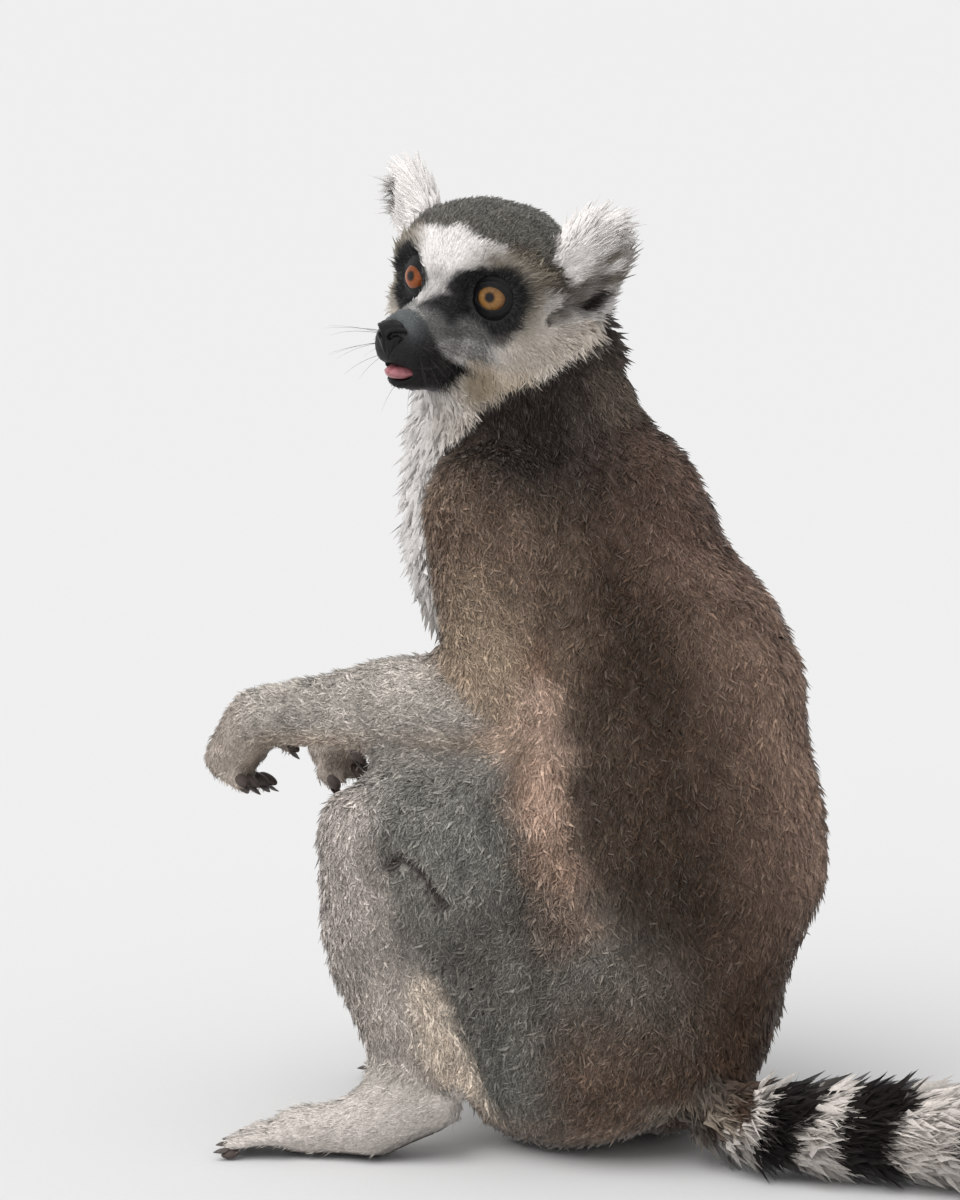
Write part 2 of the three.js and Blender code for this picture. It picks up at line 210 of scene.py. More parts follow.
at = zoomed(points_of(skin), back=True)
edge_ends = read(skin.data.edges, "vertices", 2, np.int32)
neighbours = np.bincount(edge_ends.ravel(), minlength=len(at))


def even_out(values, rounds):
    """Averages each vertex with its neighbours, as many times as it is given."""
    one, other = edge_ends.T
    values = np.array(values, float)
    flat = values.reshape(len(values), -1)
    rounds = np.broadcast_to(rounds, len(values))
    for turn in range(int(np.max(rounds))):
        moving = rounds > turn
        for column in range(flat.shape[1]):
            had = flat[:, column]
            total = np.bincount(one, had[other], len(had)) + np.bincount(other, had[one], len(had))
            flat[:, column] = np.where(moving, 0.5 * had + 0.5 * total / neighbours, had)
    return flat.reshape(values.shape)


def nearest_node(points):
    """For each point, the number in FLESH of the CAD node that it came from."""
    best = np.full(len(points), np.inf)
    found = np.zeros(len(points), int)
    margin = 4 * MM
    for number, node in enumerate(FLESH):
        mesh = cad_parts[node].data
        corners = read(mesh.vertices, "co", 3)
        faces = [tuple(face.vertices) for face in mesh.polygons]
        tree = BVHTree.FromPolygons(corners.tolist(), faces)
        near = np.all((points > corners.min(0) - margin) & (points < corners.max(0) + margin), axis=1)
        for index in np.flatnonzero(near):
            distance = tree.find_nearest(points[index])[3]
            if distance is not None and distance < best[index]:
                best[index], found[index] = distance, number
    return found


node_of = nearest_node(at)


def by_part(table):
    """A table's value for each skin vertex, by the body part that it belongs to."""
    return np.array([table[part] for part in PARTS], float)[node_of]


def belongs(parts):
    """1 for each skin vertex that belongs to one of these body parts, and 0 for the others."""
    return np.isin(node_of, [n for n, part in enumerate(PARTS) if part in parts.split()]).astype(float)


EVENNESS = {  # rounds of evening out: many on the broad trunk, few on thin ears and toes
    "head": 9, "nose": 4, "ear": 4, "neck": 30, "trunk": 34, "upper_arm": 26, "forearm": 15,
    "hand": 2, "thigh": 28, "shin": 17, "foot": 2, "tail": 14,
}
COAT_DEPTH = {  # how far the coat's tips stand over the skin
    "head": 1.7, "nose": 0.65, "ear": 0.75, "neck": 3.4, "trunk": 3.0, "upper_arm": 2.8, "forearm": 2.4,
    "hand": 0.6, "thigh": 2.9, "shin": 2.5, "foot": 1.0, "tail": 7.6,
}


def ramp(values, low, high):
    """0 up to low, 1 from high on, and smooth between them."""
    share = np.clip((values - low) / (high - low), 0, 1)
    return share * share * (3 - 2 * share)


def fade(values, low, high):
    """1 up to low, 0 from high on, and smooth between them."""
    return 1 - ramp(values, low, high)


def near_line(points, stops):
    """How far each point lies from a line through the stops."""
    stops = np.asarray(stops, float)
    best = np.full(len(points), np.inf)
    for start, end in zip(stops[:-1], stops[1:]):
        way = end - start
        share = np.clip((points - start) @ way / (way @ way), 0, 1)
        best = np.minimum(best, np.linalg.norm(points - start - share[:, None] * way, axis=1))
    return best


def stroke(points, stops, low, high):
    """1 up to low mm from a line through the stops, 0 from high on."""
    return fade(near_line(points, stops), low, high)


def one_sided(points):
    """Points with the right half folded onto the left, so that both sides match."""
    return np.column_stack([np.abs(points[:, 0]), points[:, 1:]])


def within(points, centre, radii, soft=0.35):
    """1 inside a soft-edged egg, 0 outside it."""
    away = np.linalg.norm((points - np.array(centre)) / np.array(radii), axis=1)
    return 1 - ramp(away, 1 - soft, 1 + soft)


def normals_of(piece):
    return read(piece.data.vertex_normals, "vector", 3).astype(float)


at = even_out(at, even_out(by_part(EVENNESS), 8))
write_points(skin, at)
on_head = in_head(at)
front = on_head[:, 1]
depth = by_part(COAT_DEPTH) + by_part(SWELL)
ruff = ramp(front, 8, 24) * ramp(-on_head[:, 2], -4, 12) * belongs("head")
depth += 3.2 * ruff
depth = np.where(belongs("head") > 0, depth * np.interp(front, (-32, -16, 0, 12), (0.12, 0.3, 0.6, 1)), depth)
depth = even_out(depth, 7)
at = at - normals_of(skin) * depth[:, None] * MM
at = even_out(at, np.where(depth > 3, 3, 1))

# The ears' own tips carry a fringe, so the ears themselves end short of it. The crown swells between them.
EAR_BASE = np.array([30, 27, 3])
ear_share = even_out(belongs("ear"), 7)[:, None]
face_points = in_head(at)
base = EAR_BASE * np.column_stack([np.sign(face_points[:, 0]), np.ones(len(at)), np.ones(len(at))])
face_points -= (face_points - base) * 0.17 * ear_share * ramp(face_points[:, 2:], 6, 28)
write_points(skin, at)
swell = within(one_sided(face_points), (24, 30, 27), (17, 24, 14), 0.5) * belongs("head")
face_points += 2.6 * even_out(swell, 6)[:, None] * (normals_of(skin) @ head_axes.T)

# Round each eye the face dips to meet the lids.
EYE_RADIUS = 8.8
LID_SIDEWAYS, LID_UP = math.radians(19.5), math.radians(4)
EYES = {"l": 1, "r": -1}


def head_way(sideways, up):
    """A direction in the head's own axes: so far to the side of straight ahead, and so far up."""
    return np.array([math.sin(sideways) * math.cos(up), -math.cos(sideways) * math.cos(up), math.sin(up)])


def about_eyes(points):
    """For each eye, and for points of the head: the lids' axis, how far out along it they are from the eye's
    middle, how far from it they are, and the way from it to them."""
    for letter, sign in EYES.items():
        axis = head_way(sign * LID_SIDEWAYS, LID_UP)
        away = points - in_head(middle("eye_" + letter))
        out = away @ axis
        aside = away - out[:, None] * axis
        yield letter, axis, out, np.linalg.norm(aside, axis=1), unit(aside)


for letter, axis, out, across, _ in about_eyes(face_points):
    meets = np.interp(across, (6, 7.5, 8.5, 9.5, 11, 14), (3.4, 4.5, 5.1, 5.2, 5.0, 4.6))
    share = fade(across, 9, 14) * ramp(out, -2, 2) * belongs("head")
    face_points += ((meets - out) * share)[:, None] * axis
at = from_head(face_points)

# The ear's opening is a dark slit that runs up from behind the cheek, and the lips part along the jaw.
EAR_SLIT = [(38.6, 16.5, -6.4), (40.2, 22.5, -5), (44.5, 29.4, -1.8), (49, 31.4, 2.6), (51.8, 32.4, 5)]
LIP_LINE = [(0, -37, -28.6), (6, -35, -28.6), (10, -27, -28.9), (12.5, -16, -29.4), (15.5, -5, -30.8)]
KNEE_FOLD = [(-60, 123), (-55, 127), (-48, 124), (-42, 118), (-37, 110)]  # y and z of a crease by the knee

folded = one_sided(in_head(at))
write_points(skin, at)
inward = -normals_of(skin)
sunk = 3.0 * stroke(folded, EAR_SLIT, 1.2, 4.0)
sunk += 0.9 * stroke(folded, LIP_LINE, 0.3, 1.7) * belongs("head neck")
knee_fold = stroke(at[:, 1:] / MM, KNEE_FOLD, 0.8, 4.0) * (at[:, 0] > 0.07)
sunk += 3.0 * knee_fold
at = at + inward * sunk[:, None] * MM
write_points(skin, at)
skin_normals = normals_of(skin)


# Markings. The skin and the coat on it share one colour at each place: white face and throat, black muzzle
# and eye patches, grey cap, brown back, grey limbs, a ringed tail. Grizzle is how much single tufts differ.
# A few of the colours are painted light and shade: a sheen on the muzzle, a rim of light on the nape, and
# shade under the jaw, in the near ear's cup and opening and in the near knee's crease.

WHITE, CREAM, CAP_GREY, STREAK = "faf5f2", "dccfbf", "5b5953", "2c2522"
# the second of these is a painted sheen for the top of the black muzzle, not a colour of its own
BLACK, MUZZLE_SHEEN, ASH = "111112", "5c6061", "6f6f6d"
PART_TONES = {
    "head": WHITE, "nose": BLACK, "ear": WHITE, "neck": "2a2320", "trunk": "44362c", "tail": "4b3b32",
    "upper_arm": "8d7969", "forearm": "aea79f", "hand": "aea298", "thigh": "73716b", "shin": "aea59d",
    "foot": "d2cac3",
}
GRIZZLE = {
    "head": 0.25, "nose": 0.0, "ear": 0.15, "neck": 0.6, "trunk": 0.7, "upper_arm": 0.85, "forearm": 0.9,
    "hand": 0.8, "thigh": 0.95, "shin": 0.85, "foot": 0.4, "tail": 0.3,
}


def linear(hexadecimal):
    """A colour as seen, written as six hexadecimal digits, in the renderer's linear values."""
    seen = np.array([int(hexadecimal[n:n + 2], 16) / 255 for n in (0, 2, 4)])
    return np.where(seen <= 0.04045, seen / 12.92, ((seen + 0.055) / 1.055) ** 2.4)


def wobble(points, size, seed):
    """Smooth noise between about -1 and 1 that changes over this many millimetres."""
    draw = np.random.default_rng(seed)
    total = np.zeros(len(points))
    for turn in range(5):
        way = unit(draw.normal(size=3)) * 2 * math.pi / (size * draw.uniform(0.7, 1.6))
        total += np.sin(points @ way + draw.uniform(0, 6.3))
    return total / 2.4


def dab(cover, colour):
    """Lays a colour over the tones, as thick as its cover at each place."""
    cover = np.clip(cover, 0, 1)[:, None]
    tone[:] = tone * (1 - cover) + linear(colour) * cover


def speckle(cover, amount):
    """Sets how grizzled the coat is wherever a cover is thick."""
    grizzle[:] = np.where(cover > 0.5, amount, grizzle)


body = at / MM
head_points = in_head(at) + np.stack([wobble(body, 9, n) for n in (1, 2, 3)], axis=1) * 0.7
folded = one_sided(head_points)
side, front, height = folded.T
on_head, on_ear, on_neck = belongs("head nose"), belongs("ear"), belongs("neck")
on_jaw = belongs("head nose neck") * (head_points[:, 2] > -44)
by_mouth = within(folded, (13, -8, -33), (14, 13, 10), 0.6) * on_neck
BLEND = dict(dict.fromkeys(PART_TONES, 30), head=0, nose=0, ear=2, neck=6, foot=6, trunk=170, upper_arm=170)
tone = even_out(np.array([linear(PART_TONES[part]) for part in PARTS])[node_of], by_part(BLEND))
grizzle = even_out(by_part(GRIZZLE), 20)
speckle(on_head + on_ear, 0.2)

# The body: x is folded, so that both sides match.
mirrored = one_sided(body)


def blot(parts, centre, radii, soft, share, colour):
    """Dabs a colour on these parts inside a soft egg, on both sides alike."""
    dab(belongs(parts) * within(mirrored, centre, radii, soft) * share, colour)


hide = belongs("trunk upper_arm thigh neck")
spine = hide * fade(mirrored[:, 0], 2, 54) * ramp(body[:, 1], 20, 60) * ramp(body[:, 2], 56, 125)
dab(spine * 0.9, "9f8575")
dab(hide * within(mirrored, (0, 30, 262), (30, 50, 40), 0.8) * 0.8, "776156")
dab(hide * fade(body[:, 2], 40, 110) * ramp(body[:, 1], -10, 20) * 0.85, "604b3d")
blot("trunk upper_arm neck", (52, -20, 292), (42, 36, 22), 0.8, 1, "2a2320")
blot("upper_arm trunk", (70, -34, 244), (22, 30, 34), 0.5, 0.6, "5e4c41")
streak = stroke(mirrored, [(60, 4, 226), (67, -4, 208), (66, -8, 186)], 3, 12)
dab(belongs("trunk upper_arm") * streak * 0.7, "8c6853")
FLANK = [(67, -11, 186), (59, -9, 168), (55, -12, 152), (60, -8, 136), (63, -1, 115), (68, 5, 100)]
flank = near_line(mirrored, FLANK) + wobble(body, 17, 62) * 3
flanks = belongs("trunk upper_arm thigh forearm") * fade(flank, 2, 21)
dab(flanks * 0.9, "a38877")
dab(flanks * ramp(body[:, 2], 122, 150) * 0.85, "cbae9b")
dab(flanks * ramp(body[:, 2], 160, 178) * 0.8, "e2c4b1")
blot("trunk", (64, 14, 160), (16, 20, 40), 0.6, 0.5, "5a4d43")
blot("thigh", (82, -6, 96), (26, 34, 34), 0.6, 0.7, "605c56")
blot("trunk upper_arm", (76, -34, 208), (16, 26, 32), 0.7, 0.85, "b19c87")
blot("thigh", (84, -44, 140), (22, 34, 30), 0.6, 0.7, "84827c")
blot("shin thigh", (90, -84, 120), (30, 18, 46), 0.5, 0.7, "bdb3ad")
shank = near_line(mirrored, [(86, -46, 72), (80, -43, 50), (67, -39, 30), (58, -38, 12)])
shank -= np.interp(body[:, 2], (20, 70), (6, 1))
dab(belongs("shin thigh") * fade(shank, 2, 11) * 0.95, "ecdccb")
dab(belongs("thigh trunk") * fade(body[:, 2], 8, 30) * 0.6, "9c8676")
dab(belongs("foot") * ramp(body[:, 2], 24, 40) * 0.5, "aaa598")
dab(belongs("foot") * ramp(-body[:, 1], 130, 165) * 0.4, "a2998f")
under_arm = belongs("forearm hand") * ramp(-normals_of(skin)[:, 2], 0.2, 0.9)
dab(under_arm * 0.6, "cab49f")
# painted shade: the crease by the near knee is painted dark as well as sunk
dab(belongs("shin thigh") * knee_fold * 0.9, "3a2f2e")
wisps = within(mirrored, (48, 56, 14), (16, 26, 16), 0.5) * ramp(wobble(body, 13, 21), -0.1, 0.5)
dab(belongs("thigh trunk tail") * wisps * 0.8, "b9ab9a")

# The throat and chest are white. The white band twists round the neck with the head.
turn = np.degrees(np.arctan2(body[:, 0] - 4, -(body[:, 1] + 45))) + wobble(body, 14, 5) * 4
turn = np.where((turn < -150) & (body[:, 2] > 300), turn + 360, turn)
left_edge = np.interp(body[:, 2], (190, 244, 278, 292, 305, 313, 317, 325, 331, 336),
    (46, 42, 55, 69, 88, 109, 134, 152, 182, 188))
right_edge = np.interp(body[:, 2], (190, 244, 278, 300, 311, 325), (-42, -38, -34, -28, -20, -12))
bib = ramp(left_edge - turn, -3, 5) * ramp(turn - right_edge, -3, 5) * belongs("neck trunk")
bib *= ramp(body[:, 2], 60, 90)
bib *= 1 - ramp(front, 26, 34) * fade(side, 30, 37) * ramp(body[:, 2], 285, 295)
dab(bib, WHITE)
dab(bib * ramp(turn, 48, 80) * ramp(body[:, 2], 270, 290) * 0.8, CREAM)
belly = belongs("trunk") * ramp(-body[:, 1], -5, 25) * fade(np.abs(body[:, 0]), 34, 50)
dab(belly * fade(body[:, 2], 200, 240), "cabfb3")
speckle(bib + belly, 0.12)
# painted light: a paler rim along the back of the neck, where light catches the dark fur
nape_rim_light = on_neck * ramp(body[:, 2], 282, 316) * (1 - bib)
dab(nape_rim_light * ramp(body[:, 1], -20, 6) * 0.7, "85776a")
mottle = belongs("trunk upper_arm forearm thigh shin neck") * (1 - 0.7 * bib)
tone *= 1 + (mottle * (0.13 * wobble(body, 34, 51) + 0.11 * wobble(body, 13, 52)))[:, None]

# The head, from the cap down to the chin.
cap_edge = np.interp(side, (0, 8, 16, 21, 27, 34, 38, 42, 48), (24.5, 23, 20, 19.5, 16.5, 9, 3, 4, 12))
cap = ramp(height - cap_edge, -1.2, 2.2) * ramp(front, -6, -2)
behind = ramp(front, 26, 34) * fade(side, 30, 37)
under_back = fade(head_points[:, 0], 20, 28) * fade(-head_points[:, 0], 26, 34)
behind = np.maximum(behind, ramp(front, 6, 16) * under_back * fade(height, -26, -16))
cap = np.maximum(cap, behind) * on_head
dab(on_head * ramp(side, 14, 30) * ramp(front, -6, 6) * fade(height, -18, 2) * 0.8, CREAM)
# painted shade: the lower cheeks and the underside of the jaw are painted a darker buff
jaw_shade = on_jaw * np.maximum(on_head, bib)
dab(jaw_shade * within(folded, (34, 8, -36), (12, 14, 8), 0.6) * 0.6, "a8967b")
dab(jaw_shade * within(folded, (19, -1, -35), (9, 8, 9), 0.6) * 0.9, "94856f")
dab(cap, CAP_GREY)
dab(cap * ramp(side, 28, 33) * fade(height, 8, 18) * fade(front, 20, 28), STREAK)
streak = stroke(folded, [(24, 8, 19), (31, 10.6, 16), (35.4, 14.5, 11.3), (34.5, 11, 7)], 2.5, 6)
dab(on_head * streak * 0.85, "37312c")
dab(behind * on_head * fade(height, -26, 4) * 0.8, "3a332e")
speckle(cap, 1.1)
off_middle = 3.6 * ramp(-front, 6, 14) * ramp(height, -12, -6)
bridge = np.abs(head_points[:, 0] + off_middle)
patch_away = np.hypot((side - 22.2) / 12.5, (height + 0.5) / 14.6)
patch = fade(patch_away, 0.82, 1.04) * fade(front, 10, 18)
from_front = np.stack([side, height], axis=1)
tear = stroke(from_front, [(20, -3), (13, -5), (5, -8)], 6.2, 9.2)
patch = np.maximum(patch, tear * fade(-front, 22, 27) * ramp(bridge, 1.5, 4.5))
patch = np.maximum(patch, stroke(from_front, [(9.5, 2.5), (14, 6.5)], 4, 6.3)) * fade(front, 10, 18)
halo = on_head * fade(patch_away, 1.0, 1.7) * ramp(side + height * 0.7, 16, 30)
dab(halo * 0.9, "8c8374")
dab(on_head * within(folded, (0, -12, 2), (6, 8, 8)) * 0.6, "9a9896")
under_eye = stroke(from_front, [(8, -12.5), (12, -12), (18, -13.5), (25, -13)], 3, 5.5)
dab(on_head * under_eye * fade(front, 10, 18) * 0.85, "2e2b2b")
dab(patch * on_head, "201f21")
ash_line = near_line(folded, [(5, -25, -4), (10, -21, -12), (14, -13, -19), (20, -5, -21), (18, -3, -28)])
ash_line = np.minimum(ash_line, near_line(folded, [(13, -18, -16), (13, -10, -16), (15, -5, -13)]))
ash = on_head * fade(ash_line, 3, 8)
dab(ash * 0.8, ASH)
muzzle_front = np.interp(height, (-41, -35, -31, -28, -23, -17.7, -6.6, 0),
    (-9, -5, -0.5, -2.5, -16, -23, -26.5, -27))
muzzle = ramp(muzzle_front - front, -1.6, 2.2) * on_jaw
dab(muzzle, BLACK)
# painted sheen: a grey highlight laid on the top of the black muzzle, behind the nose
dab(muzzle * ramp(height, -20, -9) * fade(side, 4, 14) * ramp(front, -40, -33) * 0.9, MUZZLE_SHEEN)
speckle(on_head * np.maximum(patch, muzzle), 0.5 + 0.4 * muzzle)
speckle(ash * (1 - muzzle), 0.95)
slit = near_line(folded, EAR_SLIT)
# Inside the near ear's cup only: grey-brown hair with painted shade of the hollow over it, then a darker
# painted shade lower in the cup.
cup_hair_and_shade = (on_head + on_ear) * stroke(folded, [(44.5, 27, 3), (51, 29, 9), (54.5, 31, 17)], 4, 11)
dab(cup_hair_and_shade * (0.65 + 0.5 * wobble(body, 3.5, 61)) * (head_points[:, 0] > 0), "7d746a")
cup_shade = stroke(folded, [(40.5, 21, -1), (44.5, 26, 4), (49.5, 27.5, 8), (51.5, 27.5, 11)], 1.6, 4.6)
dab((on_head + on_ear) * cup_shade * (head_points[:, 0] > 0) * 0.8, "4a413a")
# painted shade: the ear's opening is painted near-black where it sinks into the head
dab((on_head + on_ear) * fade(slit, 2.3, 4.3), "1f1917")

# The tail: its middle line is found by walking down it, and its rings are set out along that line.
RING, RING_BLACK, TAIL_TIP = 41.0, 0.58, 500.0
FIRST_RINGS = [(39, 59), (72, 96)]  # where the first black rings, which differ, start and end
REGULAR_FROM = 119.0


def walk_down(points, start, way, step=8.0, reach=34.0):
    """The middle line of a long part, from its start onwards."""
    line = [np.array(start, float)]
    way = unit(np.array(way, float))
    while True:
        guess = line[-1] + way * step
        slab = points[(np.abs((points - guess) @ way) < 4) & (np.linalg.norm(points - guess, axis=1) < reach)]
        if len(slab) < 12:
            return np.array(line)
        across = unit(np.cross(way, (0, 0, 1)))
        spread = (slab - guess) @ across
        here = guess + across * (spread.min() + spread.max()) / 2
        here[2] = (slab[:, 2].min() + slab[:, 2].max()) / 2
        way = unit(unit(here - line[-1]) + way)
        line.append(here)


on_tail = belongs("tail") > 0
tail_points = body[on_tail]
root_end = tail_points[tail_points[:, 1] < tail_points[:, 1].min() + 8].mean(axis=0)
tail_line = walk_down(tail_points, root_end, (0.1, 1, 0))
tail_runs = np.concatenate([[0], np.cumsum(np.linalg.norm(np.diff(tail_line, axis=0), axis=1))])


def along_tail(points):
    """How far down the tail each point is, and the tail's direction there."""
    steps = [np.linalg.norm(points - stop, axis=1) for stop in tail_line]
    nearest = np.argmin(steps, axis=0)
    ways = unit(np.gradient(tail_line, axis=0))[nearest]
    return tail_runs[nearest] + np.sum((points - tail_line[nearest]) * ways, axis=1), ways


down_tail, tail_ways = along_tail(body)
ragged = down_tail + wobble(body, 26, 8) * 4.5 + wobble(body, 8, 9) * 1.5
place = np.mod(ragged - REGULAR_FROM, RING) / RING
black = ramp(place, 0, 0.05) * fade(place, RING_BLACK, RING_BLACK + 0.05) * (ragged > REGULAR_FROM - 1)
for start, end in FIRST_RINGS:
    black = np.maximum(black, ramp(ragged, start - 1, start + 1) * fade(ragged, end - 1, end + 1))
black = np.maximum(black, ramp(ragged, TAIL_TIP, TAIL_TIP + 3))
ringed = belongs("tail") * ramp(ragged, FIRST_RINGS[0][0] - 9, FIRST_RINGS[0][0] - 5)
dab(ringed, "d8d0c9")
dab(ringed * black, "1f1b1a")
speckle(ringed, 0.25)


# Bare places. The soles and palms, the nose, the lips and the skin round the lids are black leather with no
# hair on it, and the coat leaves them out.
face_points = in_head(at)
eye_gap = np.full(len(at), np.inf)  # how far from the axis of the nearer eye
from_eye = np.zeros((len(at), 3))
for letter, axis, out, across, outwards in about_eyes(face_points):
    near = (out > -6) & (across < 22) & (on_head > 0)
    eye_gap = np.where(near, np.minimum(eye_gap, across), eye_gap)
    from_eye = np.where(near[:, None], outwards @ head_axes, from_eye)
mouth = within(face_points, (0, -29, -29.8), (10.5, 13.5, 4.4), 0.1) * on_head
dab(np.maximum(mouth, stroke(folded, LIP_LINE, 0.8, 1.8)) * on_jaw, "121013")
sole = ramp(-skin_normals[:, 2], 0.5, 0.85) * belongs("hand foot")
dab(sole, "2c2827")
on_lips = near_line(folded, LIP_LINE) < 0.9
bare = np.maximum.reduce([belongs("nose"), eye_gap < 7.7, mouth, on_lips, sole > 0.6, at[:, 2] < 0.8 * MM])


# Lie of the coat. Hair runs away from the nose on the head, down the back, and down each limb and the tail.
# Each part also has its own length of hair, how far the hair lifts off the skin, and how broad a tuft is.

COMES_AFTER = {"ear": "head", "upper_arm": "neck", "forearm": "upper_arm", "hand": "forearm", "shin": "thigh",
    "foot": "shin", "tail": "trunk"}
FIXED_WAYS = {
    "head": head_back, "nose": head_back, "neck": unit(middle("trunk") - middle("head")),
    "trunk": np.array([0, 0.15, -1.0]), "thigh": unit(np.array([0, -0.4, -1.0])),
}
HAIR = {  # length in mm, lift at the root in degrees, breadth in mm, how crowded and how unruly
    "head": (5.0, 30, 0.36, 1.0, 0.14), "nose": (0.8, 10, 0.3, 0, 0.1), "ear": (6.2, 13, 0.24, 1.0, 0.12),
    "neck": (5.4, 22, 0.26, 1.0, 0.3), "trunk": (5.2, 22, 0.25, 1.0, 0.46),
    "upper_arm": (5.0, 22, 0.24, 1.0, 0.46), "forearm": (4.5, 21, 0.22, 1.0, 0.44),
    "hand": (3.0, 20, 0.21, 1.8, 0.3), "thigh": (5.1, 22, 0.23, 1.0, 0.48),
    "shin": (4.7, 21, 0.22, 1.0, 0.44), "foot": (3.5, 22, 0.21, 1.8, 0.26),
    "tail": (13.5, 28, 0.38, 1.0, 0.26),
}


def grain(node, before):
    """The way a long CAD node runs, away from the node before it."""
    corners = read(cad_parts[node].data.vertices, "co", 3)
    way = np.linalg.svd(corners - corners.mean(axis=0), full_matrices=False)[2][0]
    return way * np.sign(way @ (middle(node) - middle(before)))


ways = []
for node, part in zip(FLESH, PARTS):
    if part in FIXED_WAYS:
        ways.append(FIXED_WAYS[part])
        continue
    before = COMES_AFTER[part]
    way = grain(node, before + node[-2:] if before + node[-2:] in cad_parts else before)
    ways.append(way * -np.sign(way[2]) if part == "shin" else way)
lie = np.array(ways)[node_of]
lie = np.where(belongs("tail")[:, None] > 0, tail_ways, lie)
on_face = on_head > 0
nose_tip = np.array([0, -40, -13])
swept = unit(face_points - nose_tip) + np.array([0, 0, -0.75]) * ramp(-face_points[:, 2:], 4, 22)
lie = np.where(on_face[:, None], unit(swept) @ head_axes, lie)
lie = even_out(lie, np.where(on_face, 6, 22))
about_eye = fade(eye_gap, 10, 16)[:, None]
lie = lie * (1 - 0.75 * about_eye) + from_eye * 0.75 * about_eye
EAR_ROOTS = {"l": (5, -17, -19), "r": (-4, 28, 10)}  # each ear's hair spreads from here
ear_leaf = {}
for letter, sign in EYES.items():
    ear = np.flatnonzero(node_of == FLESH.index("ear_" + letter))
    spread = at[ear] - at[ear].mean(axis=0)
    long_way, _, thin_way = np.linalg.svd(spread, full_matrices=False)[2]
    up_ear = spread @ (long_way * np.sign(long_way @ head_up))
    up_ear /= up_ear.max()
    rim = fade(np.abs(skin_normals[ear] @ thin_way), 0.35, 0.75) * ramp(up_ear, -0.6, 0.1)
    lie[ear] = unit(face_points[ear] - EAR_ROOTS[letter]) @ head_axes
    ear_leaf[letter] = (ear, ramp(up_ear, 0.35, 0.95), rim)


def laid_flat(ways):
    """Ways along the skin, with no part that stands off it."""
    return unit(ways - skin_normals * np.sum(ways * skin_normals, axis=1, keepdims=True))


for rounds in (6, 3):
    lie = even_out(laid_flat(lie), rounds)
lie = laid_flat(lie)

hair = {key: by_part({part: row[n] for part, row in HAIR.items()}) for n, key in
    enumerate(("length", "lift", "breadth", "crowd", "curl"))}
face_y = face_points[:, 1]


def along_face(key, places, values):
    """One measure of the hair on the head, by how far back it grows."""
    hair[key] = np.where(on_face, np.interp(face_y, places, values), hair[key])


along_face("length", (-38, -27, -18, -6, 6, 22), (1.0, 1.4, 2.0, 2.7, 4.2, 5.5))
hair["length"] += on_head * 2.4 * ramp(face_y, 4, 24) * ramp(-face_points[:, 2], -2, 16)
for key, value in (("length", 2.7), ("lift", 27), ("curl", 0.34)):
    hair[key] = np.where(cap > 0.5, value, hair[key])
fringe = within(one_sided(face_points), (38, 10, 8), (9, 9, 12), 0.5) * on_head
hair["length"] += 3.0 * fringe
along_face("breadth", (-38, -20, 0, 24), (0.22, 0.24, 0.27, 0.31))
along_face("crowd", (-38, -18, 0, 20), (2.0, 1.7, 1.3, 1.0))
hair["length"] *= 1 - 0.25 * fade(eye_gap, 8, 13)
hair["length"] = np.where(on_jaw > 0, hair["length"] * (1 - 0.7 * by_mouth), hair["length"])
for ear, tipwards, rim in ear_leaf.values():
    hair["length"][ear] += 2.5 * tipwards + 4.2 * rim
    hair["lift"][ear] += 18 * rim
    hair["curl"][ear] *= 1 - 0.5 * tipwards
    hair["crowd"][ear] += 1.2 * np.maximum(tipwards, rim)
before_slit = near_line(folded, [(36, 11, -5), (39, 16, -6)])
hair["length"] *= 0.4 + 0.6 * ramp(np.minimum(slit, before_slit), 3, 8)
lobe = within(face_points, (44, 44, -10), (13, 14, 15), 0.5)
hair["length"] += 4.5 * lobe
hair["lift"] += 18 * lobe
tail_end = down_tail[on_tail].max()
hair["length"] *= 1 - 0.45 * belongs("tail") * ramp(down_tail, tail_end - 40, tail_end - 5)
chest = bib * ramp(-body[:, 1], 40, 70) * (1 - on_head)
hair["length"] += 4.5 * chest
hair["length"] += 1.5 * fade(flank, 4, 14) * belongs("trunk thigh")
hair["length"] += 1.2 * belongs("shin thigh") * fade(shank, 2, 11)
for key, rounds in (("length", 5), ("lift", 10), ("breadth", 8), ("curl", 10)):
    hair[key] = even_out(hair[key], rounds)
hair["lift"] = hair["lift"] + 10 * chest - 8 * np.maximum(patch, muzzle) * on_head
hair["crowd"] = hair["crowd"] * (bare < 0.5)


